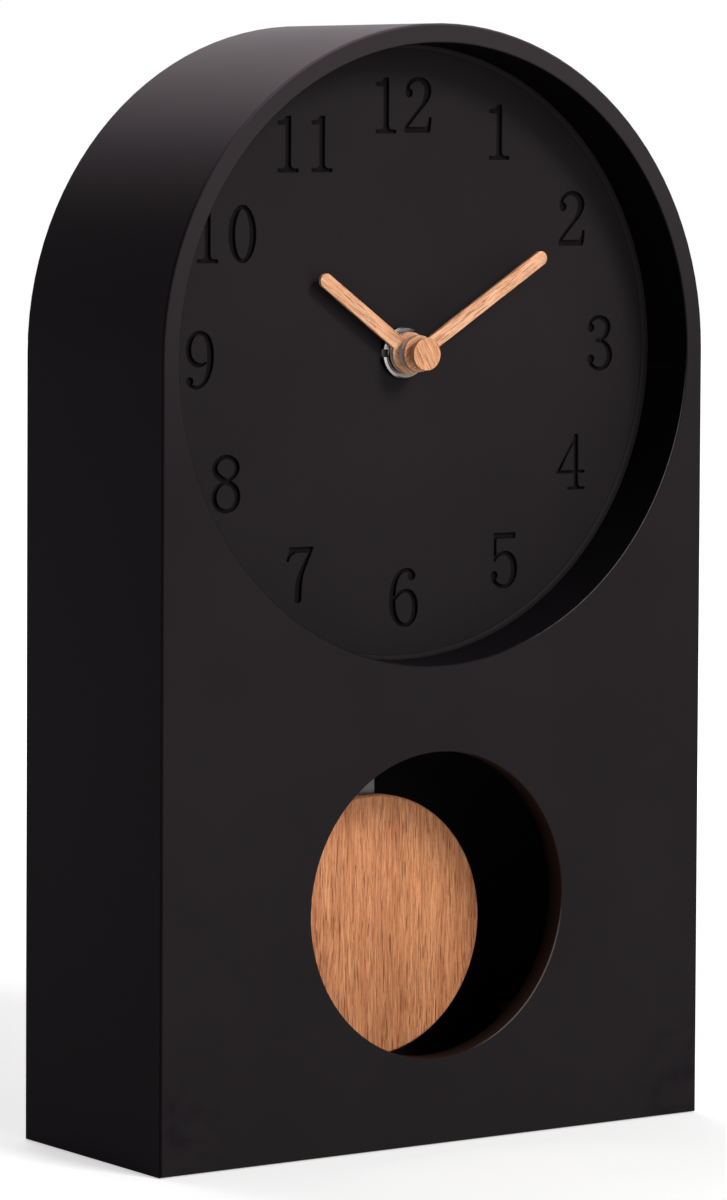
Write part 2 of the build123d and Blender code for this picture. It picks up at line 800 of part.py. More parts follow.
with BuildPart() as movement_case:
    extrude(
        block_face(case_front, -movement_half, movement_half, movement_bottom, movement_top, case_corner),
        amount=-movement_depth,
    )
    extrude(
        block_face(case_inside, -movement_inner, movement_inner, gear_floor, gear_ceiling),
        amount=-chamber_depth,
        mode=Mode.SUBTRACT,
    )
    extrude(
        block_face(case_inside, -movement_inner, movement_inner, battery_bottom, battery_top),
        amount=-chamber_depth,
        mode=Mode.SUBTRACT,
    )
    extrude(
        block_face(bay_inside, -movement_inner, movement_inner, movement_bottom - overrun, bay_top),
        amount=-(case_rear - bay_inside),
        mode=Mode.SUBTRACT,
    )
    extrude(
        block_face(
            case_front,
            -movement_half - overrun,
            movement_half + overrun,
            movement_bottom - overrun,
            bay_top,
        ),
        amount=-(bay_front - case_front),
        mode=Mode.SUBTRACT,
    )
    for place, end in pivot_bosses:
        extrude(disc_face(case_inside, boss_radius, place), amount=-(end - case_inside))
        extrude(disc_face(end, pivot_bore, place), amount=pivot_length, mode=Mode.SUBTRACT)
    extrude(
        disc_face(case_inside, post_radius, minute_place),
        amount=-(motion_layer + wheel_thickness - case_inside),
    )
    for place in bridge_post_places:
        extrude(disc_face(case_inside, bridge_post_radius, place), amount=-(bridge_front - case_inside))
        extrude(
            disc_face(bridge_front, bridge_screw_radius + screw_clearance, place),
            amount=post_screw_depth,
            mode=Mode.SUBTRACT,
        )
    for place in upper_cover_posts:
        extrude(disc_face(case_inside, cover_post_radius, place), amount=-(chamber_depth - lip_depth))
    for place in lower_cover_posts:
        extrude(disc_face(bay_inside, cover_post_radius, place), amount=-(case_rear - bay_inside))
    for place in cover_post_places:
        extrude(
            disc_face(case_rear, cover_screw_radius + screw_clearance, place),
            amount=post_screw_depth,
            mode=Mode.SUBTRACT,
        )
    extrude(disc_face(bay_inside, pin_boss_radius, driver_place), amount=-(front_boss_end - bay_inside))
    extrude(
        disc_face(front_boss_end, driver_bore, driver_place),
        amount=front_boss_end - bay_inside + pin_seat,
        mode=Mode.SUBTRACT,
    )
    extrude(
        disc_face(case_front, neck_radius + screw_clearance, dial_centre),
        amount=-shell_wall,
        mode=Mode.SUBTRACT,
    )
movement_case.part.label = "movement_case"

# Train bridge: a plate on four posts that holds the rear pivots and carries the stator and circuit board
stator_margin = 1.6
stator_width = 17.0
stator_height = 26.0
stator_foot_drop = 4.5
leg_width = 2.5
limb_height = 3.0
yoke_height = 11.0
stator_bore_gap = 0.4
board_width = 20.0
board_height = 25.0
board_thickness = 1.0
stand_radius = 1.2
stand_inset = 2.0
stator_left = -movement_inner + stator_margin
stator_right = stator_left + stator_width
stator_bottom = arch_height - stator_foot_drop
stator_top = stator_bottom + stator_height
board_right = movement_inner - stator_margin
board_left = board_right - board_width
board_bottom = gear_floor + inner_gap
board_top = board_bottom + board_height
stand_places = [
    (stator_left + stand_inset, stator_bottom + yoke_height - stand_inset),
    (stator_right - stand_inset, stator_bottom + stand_inset),
    (board_left + stand_inset, board_bottom + stand_inset),
    (board_right - stand_inset, board_top - stand_inset),
]
with BuildPart() as train_bridge:
    extrude(
        block_face(
            bridge_front,
            -movement_inner + inner_gap,
            movement_inner - inner_gap,
            gear_floor + inner_gap,
            gear_ceiling - inner_gap,
            overrun,
        ),
        amount=-bridge_thickness,
    )
    for place in stand_places:
        extrude(disc_face(bridge_rear, stand_radius, place), amount=-stand_off)
    for place in (dial_centre, third_place, fifth_place):
        extrude(disc_face(bridge_front, pivot_bore, place), amount=-bridge_thickness, mode=Mode.SUBTRACT)
    extrude(
        disc_face(bridge_front, staff_radius + end_shake, rotor_place),
        amount=-bridge_thickness,
        mode=Mode.SUBTRACT,
    )
    extrude(
        disc_face(bridge_front, shaft_radius + running_gap, setting_place),
        amount=-bridge_thickness,
        mode=Mode.SUBTRACT,
    )
    for place in bridge_post_places:
        extrude(
            disc_face(bridge_front, bridge_screw_radius + screw_clearance, place),
            amount=-bridge_thickness,
            mode=Mode.SUBTRACT,
        )
    for place in upper_cover_posts:
        extrude(
            disc_face(bridge_front, cover_post_radius + end_shake, place),
            amount=-bridge_thickness,
            mode=Mode.SUBTRACT,
        )
train_bridge.part.label = "train_bridge"

# Bridge screws: pan heads on the bridge, shanks down into the posts
bridge_head_radius = 1.4
bridge_head_height = 0.9
bridge_screw_length = 5.0
with BuildPart() as bridge_screws:
    for place in bridge_post_places:
        extrude(disc_face(bridge_rear, bridge_head_radius, place), amount=-bridge_head_height)
        extrude(disc_face(bridge_rear, bridge_screw_radius, place), amount=bridge_screw_length)
bridge_screws.part.label = "bridge_screws"

# Step motor: a stator plate with a round bore for the rotor, and a coil wound on its upper limb
limb_bottom = stator_top - limb_height
limb_centre = (stator_top + limb_bottom) / 2
coil_length = stator_width - 2 * leg_width
coil_depth = stator_front + stator_thickness / 2
coil_radius = 2.8
bobbin_radius = 1.9
bobbin_flange_radius = 3.0
bobbin_flange = 0.6
with BuildPart() as stator:
    extrude(
        block_face(stator_front, stator_left, stator_right, stator_bottom, stator_top),
        amount=-stator_thickness,
    )
    extrude(
        block_face(
            stator_front,
            stator_left + leg_width,
            stator_right - leg_width,
            stator_bottom + yoke_height,
            limb_bottom,
        ),
        amount=-stator_thickness,
        mode=Mode.SUBTRACT,
    )
    extrude(
        disc_face(stator_front, magnet_radius + stator_bore_gap, rotor_place),
        amount=-stator_thickness,
        mode=Mode.SUBTRACT,
    )
stator.part.label = "stator"


def depth_y(depth):
    """The Y coordinate of a depth behind the front face."""
    return depth - case_depth / 2


def cross_disc(start, outer, inner, depth, height):
    """A ring face square to X, at a start along X, centred at a depth and a height."""
    with BuildSketch(Plane.YZ.offset(start)) as face:
        with Locations((depth_y(depth), height)):
            Circle(outer)
            if inner:
                Circle(inner, mode=Mode.SUBTRACT)
    return face.sketch


bobbin_left = stator_left + leg_width
with BuildPart() as coil_bobbin:
    extrude(cross_disc(bobbin_left, bobbin_radius, 0, coil_depth, limb_centre), amount=coil_length)
    for start in (bobbin_left, bobbin_left + coil_length - bobbin_flange):
        extrude(cross_disc(start, bobbin_flange_radius, 0, coil_depth, limb_centre), amount=bobbin_flange)
    extrude(
        block_face(stator_front, bobbin_left, bobbin_left + coil_length, limb_bottom, stator_top),
        amount=-stator_thickness,
        mode=Mode.SUBTRACT,
    )
coil_bobbin.part.label = "coil_bobbin"

with BuildPart() as motor_coil:
    extrude(
        cross_disc(bobbin_left + bobbin_flange, coil_radius, bobbin_radius, coil_depth, limb_centre),
        amount=coil_length - 2 * bobbin_flange,
    )
motor_coil.part.label = "motor_coil"

# Circuit board with its moulded chip and a quartz crystal in a can
chip_radius = 3.0
chip_height = 1.0
crystal_radius = 1.0
crystal_length = 6.0
board_front = stator_front
board_rear = board_front + board_thickness
with BuildPart() as circuit_board:
    extrude(
        block_face(board_front, board_left, board_right, board_bottom, board_top),
        amount=-board_thickness,
    )
circuit_board.part.label = "circuit_board"

board_middle = (board_bottom + board_top) / 2
with BuildPart() as clock_chip:
    extrude(
        disc_face(board_rear, chip_radius, (board_left + 2 * chip_radius, board_middle)),
        amount=-chip_height,
    )
    chamfer(clock_chip.faces().sort_by(Axis.Y)[-1].edges(), chip_height / 2)
clock_chip.part.label = "clock_chip"

with BuildPart() as quartz_crystal:
    with BuildSketch(Plane.XY.offset(board_middle)):
        with Locations((board_right - 2 * chip_radius, depth_y(board_rear + crystal_radius))):
            Circle(crystal_radius)
    extrude(amount=crystal_length)
quartz_crystal.part.label = "quartz_crystal"

# Battery: one cell across the bay, held between two sprung contacts at the bay's ends
nub_radius = 2.75
nub_length = 1.0
cell_chamfer = 0.5
contact_thickness = 0.4
contact_margin = 2.5
contact_spring_radius = 2.4
contact_tip_radius = 1.4
battery_height = (battery_top + battery_bottom) / 2
battery_depth = case_inside + battery_clearance + battery_diameter / 2
cell_left = -battery_length / 2
with BuildPart() as battery_cell:
    extrude(
        cross_disc(cell_left, battery_diameter / 2, 0, battery_depth, battery_height),
        amount=battery_length - nub_length,
    )
    chamfer(battery_cell.edges().filter_by(GeomType.CIRCLE), cell_chamfer)
    extrude(cross_disc(cell_left, nub_radius, 0, battery_depth, battery_height), amount=battery_length)
battery_cell.part.label = "battery_cell"

contact_reach = movement_inner - contact_thickness - battery_length / 2
contact_half = battery_diameter / 2 - contact_margin
with BuildPart() as battery_contacts:
    for side in (-1, 1):
        with BuildSketch(Plane.YZ.offset(side * movement_inner)):
            with Locations((depth_y(battery_depth), battery_height)):
                Rectangle(2 * contact_half, 2 * contact_half)
        extrude(amount=-side * contact_thickness)
        with BuildSketch(Plane.YZ.offset(side * (movement_inner - contact_thickness))) as spring_root:
            with Locations((depth_y(battery_depth), battery_height)):
                Circle(contact_spring_radius)
        with BuildSketch(Plane.YZ.offset(side * battery_length / 2)) as spring_tip:
            with Locations((depth_y(battery_depth), battery_height)):
                Circle(contact_tip_radius)
        loft([spring_root.sketch, spring_tip.sketch])
battery_contacts.part.label = "battery_contacts"

# Rear cover: a lid with an inner lip, a battery window, and bosses for the rotor and the driver's pin
lip_wall = 1.0
lip_gap = 0.1
window_lip = 0.6
with BuildPart() as movement_cover:
    extrude(
        block_face(case_rear, -movement_half, movement_half, movement_bottom, movement_top, case_corner),
        amount=-cover_thickness,
    )
    extrude(
        block_face(
            case_rear,
            -movement_inner + lip_gap,
            movement_inner - lip_gap,
            gear_floor + lip_gap,
            gear_ceiling - lip_gap,
        ),
        amount=lip_depth,
    )
    extrude(
        block_face(
            case_rear,
            -movement_inner + lip_gap + lip_wall,
            movement_inner - lip_gap - lip_wall,
            gear_floor + lip_gap + lip_wall,
            gear_ceiling - lip_gap - lip_wall,
        ),
        amount=lip_depth,
        mode=Mode.SUBTRACT,
    )
    extrude(
        block_face(case_rear, -movement_inner, movement_inner, battery_bottom, battery_top),
        amount=-cover_thickness,
        mode=Mode.SUBTRACT,
    )
    extrude(disc_face(case_rear, boss_radius, rotor_place), amount=case_rear - rotor_cock)
    extrude(
        disc_face(rotor_cock, pivot_bore, rotor_place),
        amount=-pivot_length,
        mode=Mode.SUBTRACT,
    )
    extrude(disc_face(case_rear, pin_boss_radius, driver_place), amount=case_rear - rear_boss_end)
    extrude(
        disc_face(rear_boss_end, driver_bore, driver_place),
        amount=-(case_rear - rear_boss_end + pin_seat),
        mode=Mode.SUBTRACT,
    )
    extrude(
        disc_face(case_rear, shaft_radius + running_gap, setting_place),
        amount=-cover_thickness,
        mode=Mode.SUBTRACT,
    )
    for place in cover_post_places:
        extrude(
            disc_face(case_rear - lip_depth, cover_screw_radius + screw_clearance, place),
            amount=-(lip_depth + cover_thickness),
            mode=Mode.SUBTRACT,
        )
movement_cover.part.label = "movement_cover"

# Cover screws: two near the top, two at the upper corners of the pendulum bay
cover_head_radius = 1.3
cover_head_height = 0.8
cover_screw_length = 6.5
with BuildPart() as cover_screws:
    for place in cover_post_places:
        extrude(disc_face(cover_rear, cover_head_radius, place), amount=-cover_head_height)
        extrude(disc_face(cover_rear, cover_screw_radius, place), amount=cover_screw_length)
cover_screws.part.label = "cover_screws"

# Driver pin: a steel pin across the pendulum bay, seated in the case and the cover
with BuildPart() as driver_pin:
    extrude(
        disc_face(bay_inside - pin_seat, driver_pin_radius, driver_place),
        amount=-(case_rear + 2 * pin_seat - bay_inside),
    )
driver_pin.part.label = "driver_pin"

# Pendulum driver: hub, arm, a round cup for the magnet, and a headed peg that the rod hangs on
cup_wall = 1.0
cup_depth = 3.8
drive_magnet_radius = 4.0
drive_magnet_thickness = 3.0
peg_radius = 1.2
peg_head_radius = 2.0
peg_head_thickness = 0.6
peg_gap = 0.2
arm_end_margin = 3.5
peg_head_front = rod_front - peg_gap - peg_head_thickness
arm_bottom = peg_place[1] - arm_end_margin
with BuildPart() as pendulum_driver:
    extrude(disc_face(driver_front, driver_hub_radius, driver_place), amount=-hub_length)
    extrude(
        block_face(driver_front, -driver_width / 2, driver_width / 2, arm_bottom, driver_place[1]),
        amount=-driver_thickness,
    )
    extrude(disc_face(driver_front, drive_magnet_radius + cup_wall, magnet_place), amount=-cup_depth)
    extrude(
        disc_face(driver_front + cup_depth, drive_magnet_radius, magnet_place),
        amount=drive_magnet_thickness,
        mode=Mode.SUBTRACT,
    )
    extrude(disc_face(peg_head_front, peg_radius, peg_place), amount=-(driver_front - peg_head_front))
    extrude(disc_face(peg_head_front, peg_head_radius, peg_place), amount=-peg_head_thickness)
    extrude(
        disc_face(driver_front, driver_bore, driver_place),
        amount=-hub_length,
        mode=Mode.SUBTRACT,
    )
pendulum_driver.part.label = "pendulum_driver"

with BuildPart() as driver_magnet:
    extrude(
        disc_face(driver_front + cup_depth, drive_magnet_radius, magnet_place),
        amount=drive_magnet_thickness,
    )
driver_magnet.part.label = "driver_magnet"

# Drive coil behind the magnet, on a holder that stands on the rear cover
drive_gap = 1.2
drive_coil_radius = 7.0
drive_coil_bore = 2.5
holder_radius = 7.6
holder_thickness = 1.6
drive_coil_front = driver_front + cup_depth + drive_gap
holder_front = case_rear - holder_thickness
with BuildPart() as coil_holder:
    extrude(disc_face(holder_front, holder_radius, magnet_place), amount=-holder_thickness)
    extrude(
        disc_face(drive_coil_front, drive_coil_bore, magnet_place),
        amount=-(holder_front - drive_coil_front),
    )
coil_holder.part.label = "coil_holder"

with BuildPart() as drive_coil:
    extrude(
        ring_face(drive_coil_front, drive_coil_radius, drive_coil_bore, magnet_place),
        amount=-(holder_front - drive_coil_front),
    )
drive_coil.part.label = "drive_coil"

# Pendulum rod: a flat strip with a keyhole at its head, hung on the peg
rod_head_radius = 3.5
keyhole_drop = 4.5
rod_tail = 12.0
peg_slot = peg_radius + peg_gap / 2
keyhole_radius = peg_head_radius + peg_gap
rod_head_bottom = peg_place[1] - keyhole_drop
with BuildPart() as pendulum_rod:
    with BuildSketch(at_depth(rod_front)):
        with Locations(peg_place, (0, rod_head_bottom)):
            Circle(rod_head_radius)
        with Locations((0, (peg_place[1] + rod_head_bottom) / 2)):
            Rectangle(2 * rod_head_radius, keyhole_drop)
        with Locations((0, (rod_head_bottom + bob_height - rod_tail) / 2)):
            Rectangle(rod_width, rod_head_bottom - bob_height + rod_tail)
        with Locations(peg_place):
            Circle(peg_slot, mode=Mode.SUBTRACT)
        with Locations((0, (peg_place[1] + rod_head_bottom) / 2)):
            Rectangle(2 * peg_slot, keyhole_drop, mode=Mode.SUBTRACT)
        with Locations((0, rod_head_bottom)):
            Circle(keyhole_radius, mode=Mode.SUBTRACT)
    extrude(amount=-rod_thickness)
pendulum_rod.part.label = "pendulum_rod"

# Bob: a round wooden disc with softened edges, the rod flat against its back
bob_bevel = 0.4
bob_centre = (0, bob_height)
bracket_width = 16.0
bracket_height = 10.0
bracket_wall = 0.8
bracket_corner = 1.5
bracket_screw_radius = 0.7
bracket_screw_depth = 1.8
bracket_head_radius = 1.4
bracket_head_height = 0.6
bracket_screw_column = (bracket_width + rod_width) / 4
bracket_screw_places = [(-bracket_screw_column, bob_height), (bracket_screw_column, bob_height)]
bracket_rear = rod_front + rod_thickness + bracket_wall
with BuildPart() as pendulum_bob:
    extrude(disc_face(bob_depth, bob_diameter / 2, bob_centre), amount=-bob_thickness)
    chamfer(pendulum_bob.edges().filter_by(GeomType.CIRCLE), bob_bevel)
    for place in bracket_screw_places:
        extrude(
            disc_face(rod_front, bracket_screw_radius + screw_clearance, place),
            amount=bracket_screw_depth,
            mode=Mode.SUBTRACT,
        )
pendulum_bob.part.label = "pendulum_bob"

# Bob bracket: a plate over the rod, channelled for it, screwed to the bob's back
with BuildPart() as bob_bracket:
    extrude(
        block_face(
            rod_front,
            -bracket_width / 2,
            bracket_width / 2,
            bob_height - bracket_height / 2,
            bob_height + bracket_height / 2,
            bracket_corner,
        ),
        amount=-(rod_thickness + bracket_wall),
    )
    extrude(
        block_face(
            rod_front,
            -rod_width / 2,
            rod_width / 2,
            bob_height - bracket_height / 2 - overrun,
            bob_height + bracket_height / 2 + overrun,
        ),
        amount=-rod_thickness,
        mode=Mode.SUBTRACT,
    )
    for place in bracket_screw_places:
        extrude(
            disc_face(rod_front, bracket_screw_radius + screw_clearance, place),
            amount=-(rod_thickness + bracket_wall),
            mode=Mode.SUBTRACT,
        )
bob_bracket.part.label = "bob_bracket"

with BuildPart() as bracket_screws:
    for place in bracket_screw_places:
        extrude(disc_face(bracket_rear, bracket_head_radius, place), amount=-bracket_head_height)
        extrude(
            disc_face(bracket_rear, bracket_screw_radius, place),
            amount=rod_thickness + bracket_wall + bracket_screw_depth - peg_gap,
        )
bracket_screws.part.label = "bracket_screws"

pieces = [
    front_board, side_band, base_board, recess_collar, dial_board, screw_blocks, back_board, back_screws,
    dial_washer, hand_nut, threaded_bush, movement_gasket, hour_hand, minute_hand, hour_collet, minute_collet,
    hand_cap, hour_wheel, minute_arbor, minute_wheel, centre_wheel, third_wheel, second_wheel, fifth_wheel,
    rotor, rotor_magnet, setting_knob, movement_case, train_bridge, bridge_screws, stator, coil_bobbin,
    motor_coil, circuit_board, clock_chip, quartz_crystal, battery_cell, battery_contacts, movement_cover,
    cover_screws,
    driver_pin, pendulum_driver, driver_magnet, coil_holder, drive_coil, pendulum_rod, pendulum_bob,
    bob_bracket, bracket_screws,
]
os.makedirs("parts", exist_ok=True)
for piece in pieces:
    export_step(piece.part, f"parts/{piece.part.label}.step")
print(len(pieces), "pieces written")
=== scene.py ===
# %% [markdown]
# # A black desk clock with a wooden pendulum
# The clock is a small arched case of fibreboard under satin black lacquer. Its round dial lies in a deep
# recess, with the hour figures sunk into it, two plain wooden hands and a wooden cap. A round wooden bob
# swings behind a round opening below. The solid model already has every shape that works, so this script
# loads it, gives each surface the finish of the real one, and cuts the figures, which are too fine for
# the solid model.

import json
from math import cos, pi, radians, sin

import bmesh
import bpy
import numpy as np
from mathutils import Matrix, Vector

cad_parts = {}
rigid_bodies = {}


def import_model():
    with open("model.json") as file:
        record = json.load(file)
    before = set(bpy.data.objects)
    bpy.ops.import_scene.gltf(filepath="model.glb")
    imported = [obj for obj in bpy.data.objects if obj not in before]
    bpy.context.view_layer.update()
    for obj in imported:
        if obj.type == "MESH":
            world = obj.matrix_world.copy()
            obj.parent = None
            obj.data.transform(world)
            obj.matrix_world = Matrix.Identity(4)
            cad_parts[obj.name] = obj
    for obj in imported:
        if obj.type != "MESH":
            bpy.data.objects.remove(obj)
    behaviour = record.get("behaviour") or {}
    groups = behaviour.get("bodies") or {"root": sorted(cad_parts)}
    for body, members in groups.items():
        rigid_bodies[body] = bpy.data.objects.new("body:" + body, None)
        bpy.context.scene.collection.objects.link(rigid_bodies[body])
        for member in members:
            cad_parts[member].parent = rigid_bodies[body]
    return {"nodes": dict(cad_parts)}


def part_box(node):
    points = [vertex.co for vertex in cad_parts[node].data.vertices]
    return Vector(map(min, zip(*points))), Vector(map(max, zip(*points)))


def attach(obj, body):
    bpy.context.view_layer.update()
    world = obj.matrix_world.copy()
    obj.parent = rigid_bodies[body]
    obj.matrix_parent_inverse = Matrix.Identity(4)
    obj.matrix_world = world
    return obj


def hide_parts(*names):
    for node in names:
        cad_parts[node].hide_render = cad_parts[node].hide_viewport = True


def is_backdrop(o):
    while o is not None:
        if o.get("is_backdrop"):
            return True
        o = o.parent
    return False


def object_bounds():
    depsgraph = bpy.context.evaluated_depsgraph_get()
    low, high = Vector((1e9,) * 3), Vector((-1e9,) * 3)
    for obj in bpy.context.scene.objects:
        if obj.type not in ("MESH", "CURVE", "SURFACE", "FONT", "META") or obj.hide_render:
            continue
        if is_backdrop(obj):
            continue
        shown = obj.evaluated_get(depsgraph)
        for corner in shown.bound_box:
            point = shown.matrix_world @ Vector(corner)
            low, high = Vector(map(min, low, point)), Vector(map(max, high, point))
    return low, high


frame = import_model()
nodes = frame["nodes"]
cad_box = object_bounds()
MM = 0.001
print("pieces in the frame:", len(nodes))

# %% [markdown]
# ## The camera
# The photograph was taken from the clock's left front, a little above its middle, from about 1.25 m away.
# A long lens at that distance gives the slight narrowing that the picture shows. One could move the
# camera by hand until the views agree. Here its place, its direction, its roll and its focal length in
# pixels were worked out from corners and circles of the case whose places are known, so the view is the
# same on each run. A vertical shift of the lens stands for the crop: the clock's upright edges stay
# upright, as in the picture.

# %% Place the camera
IMAGE_HEIGHT = 1200
camera_place = np.array([-716.96, -1027.05, 231.56]) * MM
camera_yaw, camera_pitch, camera_roll = radians(34.86), radians(2.88), radians(0.30)
focal_pixels = 5434.0
crop_shift_pixels = -200.0
SENSOR = 36.0

forward = np.array(
    [sin(camera_yaw) * cos(camera_pitch), cos(camera_yaw) * cos(camera_pitch), -sin(camera_pitch)]
)
level_right = np.array([cos(camera_yaw), -sin(camera_yaw), 0.0])
level_up = np.cross(level_right, forward)
camera_right = level_right * cos(camera_roll) + level_up * sin(camera_roll)
camera_up = -level_right * sin(camera_roll) + level_up * cos(camera_roll)

camera_data = bpy.data.cameras.new("camera")
camera_data.sensor_width = SENSOR
camera_data.lens = focal_pixels / IMAGE_HEIGHT * SENSOR
camera_data.shift_y = crop_shift_pixels / IMAGE_HEIGHT
camera_data.clip_end = 20.0
camera = bpy.data.objects.new("camera", camera_data)
turn = Matrix(np.column_stack([camera_right, camera_up, -forward]).tolist()).to_4x4()
camera.matrix_world = Matrix.Translation(camera_place.tolist()) @ turn
bpy.context.scene.collection.objects.link(camera)
bpy.context.scene.camera = camera
print("lens %.1f mm, shift %.3f" % (camera_data.lens, camera_data.shift_y))

# %% [markdown]
# ## Writing shader maths as Python
# A material is a small network of nodes. It could be drawn by hand in the Shader Editor, but then nobody
# can read how it came about. Written out node by node in Python it is long. So the class `Wire` stands
# for one output socket: adding or multiplying wires adds the Math node that does the sum. `Finish` is one
# material being made. Its `node` method adds any other node, with its settings first and then its inputs.

# %% Wires and finishes
class Wire:
    """One output socket. Sums on it become Math nodes: a number may stand on either side."""

    def __init__(self, finish, socket):
        self.finish = finish
        self.socket = socket

    def maths(self, operation, first, second):
        return self.finish.node("ShaderNodeMath", {"operation": operation}, {0: first, 1: second})

    def __add__(self, other):
        return self.maths("ADD", self, other)

    def __radd__(self, other):
        return self.maths("ADD", other, self)

    def __sub__(self, other):
        return self.maths("SUBTRACT", self, other)

    def __rsub__(self, other):
        return self.maths("SUBTRACT", other, self)

    def __mul__(self, other):
        return self.maths("MULTIPLY", self, other)

    def __rmul__(self, other):
        return self.maths("MULTIPLY", other, self)

    def __truediv__(self, other):
        return self.maths("DIVIDE", self, other)

    def __pow__(self, other):
        return self.maths("POWER", self, other)


class Finish:
    """One material being wired, with a Principled surface at its end. It can also wire the world's tree."""

    def __init__(self, name, tree=None):
        if tree is None:
            self.material = bpy.data.materials.new(name)
            self.material.use_nodes = True
            tree = self.material.node_tree
        self.tree = tree
        self.tree.nodes.clear()

    def node(self, kind, settings=None, inputs=None, output=0):
        """Adds a node of one type: its settings are set first, then its inputs get values or wires."""
        node = self.tree.nodes.new(kind)
        for name, value in (settings or {}).items():
            setattr(node, name, value)
        for name, value in (inputs or {}).items():
            if isinstance(value, Wire):
                self.tree.links.new(value.socket, node.inputs[name])
            else:
                node.inputs[name].default_value = value
        return Wire(self, node.outputs[output]) if node.outputs else None

    def spot(self, scale=(1, 1, 1), turn=(0, 0, 0)):
        """The object's own coordinates in millimetres, after a turn and a scale."""
        place = self.node("ShaderNodeTexCoord", output="Object")
        turned = self.node(
            "ShaderNodeMapping",
            {"vector_type": "POINT"},
            {"Vector": place, "Rotation": turn, "Scale": [1 / MM] * 3},
        )
        return self.stretched(turned, scale)

    def stretched(self, vector, scale):
        """A vector with each of its numbers multiplied by its own factor."""
        return self.node("ShaderNodeVectorMath", {"operation": "MULTIPLY"}, {0: vector, 1: scale})

    def part(self, vector, axis):
        """One number, X, Y or Z, of a vector."""
        return self.node("ShaderNodeSeparateXYZ", None, {"Vector": vector}, output=axis)

    def larger(self, first, second):
        """The larger of two numbers."""
        return self.node("ShaderNodeMath", {"operation": "MAXIMUM"}, {0: first, 1: second})

    def absolute(self, value):
        """A number without its sign."""
        return self.node("ShaderNodeMath", {"operation": "ABSOLUTE"}, {0: value})

    def noise(self, vector, detail=2.0, roughness=0.5):
        """Smooth noise from 0 to 1, one lump to each unit of the vector."""
        return self.node(
            "ShaderNodeTexNoise",
            {"noise_dimensions": "3D"},
            {"Vector": vector, "Scale": 1.0, "Detail": detail, "Roughness": roughness},
        )

    def rise(self, value, low, high, start=0.0, end=1.0):
        """A smooth step: `start` below `low`, `end` above `high`."""
        return self.node(
            "ShaderNodeMapRange",
            {"interpolation_type": "SMOOTHSTEP"},
            {"Value": value, "From Min": low, "From Max": high, "To Min": start, "To Max": end},
        )

    def blend(self, factor, first, second):
        """A colour between two: the first at 0, the second at 1."""
        values = {"Factor": factor}
        values[6] = first if isinstance(first, Wire) else (*first, 1.0)
        values[7] = second if isinstance(second, Wire) else (*second, 1.0)
        return self.node("ShaderNodeMix", {"data_type": "RGBA"}, values, output=2)

    def dent(self, height, distance):
        """A bump: where `height` is 1 the surface seems to stand out by `distance` millimetres."""
        values = {"Height": height, "Distance": distance * MM, "Strength": 1.0}
        return self.node("ShaderNodeBump", None, values)

    def surface(self, **values):
        """Ends the material in a Principled surface, and returns the material."""
        sockets = {}
        for name, value in values.items():
            label = name.replace("_", " ").title().replace("Ior", "IOR")
            sockets[label] = (*value, 1.0) if isinstance(value, tuple) else value
        shader = self.node("ShaderNodeBsdfPrincipled", None, sockets)
        self.node("ShaderNodeOutputMaterial", {"target": "ALL"}, {"Surface": shader})
        return self.material


def tone(red, green, blue):
    """A colour read off a screen, from 0 to 255, as the linear colour that a shader takes."""
    share = np.array([red, green, blue]) / 255
    return tuple(np.where(share <= 0.04045, share / 12.92, ((share + 0.055) / 1.055) ** 2.4).tolist())


print("a mid grey on a screen is %.3f in a shader" % tone(128, 128, 128)[0])

# %% [markdown]
# ## Floor, world and lamps
# The clock stands on a plain pale floor in front of white. More light would make the floor white, and the
# clock too pale. Instead the floor is a real surface, which takes the clock's shadow, with a little light
# of its own that only the camera, glossy and clear rays see. That glow grows with the distance from the
# clock, so the far floor runs into the white behind it with no edge. The world does the same: it is dim
# for the light on the clock, and white where the camera or a mirror looks at it.

# %% Lay the floor
GLOW_NEAR, GLOW_FAR, GLOW_LEAST = 180.0, 700.0, 0.42
FLOOR_HALF, FLOOR_DROP = 4.0, 0.0002


def direct_view(finish):
    """1 where a camera, glossy or transmission ray looks, and 0 for the light that falls on things."""
    camera_ray = finish.node("ShaderNodeLightPath", output="Is Camera Ray")
    glossy_ray = finish.node("ShaderNodeLightPath", output="Is Glossy Ray")
    clear_ray = finish.node("ShaderNodeLightPath", output="Is Transmission Ray")
    return camera_ray + glossy_ray + clear_ray


floor_finish = Finish("pale_floor")
floor_speck = floor_finish.noise(floor_finish.spot((0.02, 0.02, 0.02)))
floor_place = {0: floor_finish.spot()}
floor_reach = floor_finish.node("ShaderNodeVectorMath", {"operation": "LENGTH"}, floor_place, "Value")
floor_glow = floor_finish.rise(floor_reach, GLOW_NEAR, GLOW_FAR, GLOW_LEAST, 1.0)
floor_material = floor_finish.surface(
    base_color=floor_finish.blend(floor_speck, tone(226, 226, 226), tone(232, 232, 231)),
    roughness=0.9,
    specular_ior_level=0.1,
    emission_color=floor_finish.blend(direct_view(floor_finish) * floor_glow, (0, 0, 0), (1, 1, 1)),
    emission_strength=1.0,
)

corners = [(x * FLOOR_HALF, y * FLOOR_HALF, -FLOOR_DROP) for x, y in ((-1, -1), (1, -1), (1, 1), (-1, 1))]
floor_mesh = bpy.data.meshes.new("floor")
floor_mesh.from_pydata(corners, [], [(0, 1, 2, 3)])
floor = bpy.data.objects.new("floor", floor_mesh)
floor_mesh.materials.append(floor_material)
bpy.context.scene.collection.objects.link(floor)
floor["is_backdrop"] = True
print("floor %.0f m across, glowing from %.0f mm out" % (2 * FLOOR_HALF, GLOW_NEAR))

# %% Light the clock
WORLD_LEVEL = 0.19
LAMP_TARGET = Vector((0, 0, 0.14))

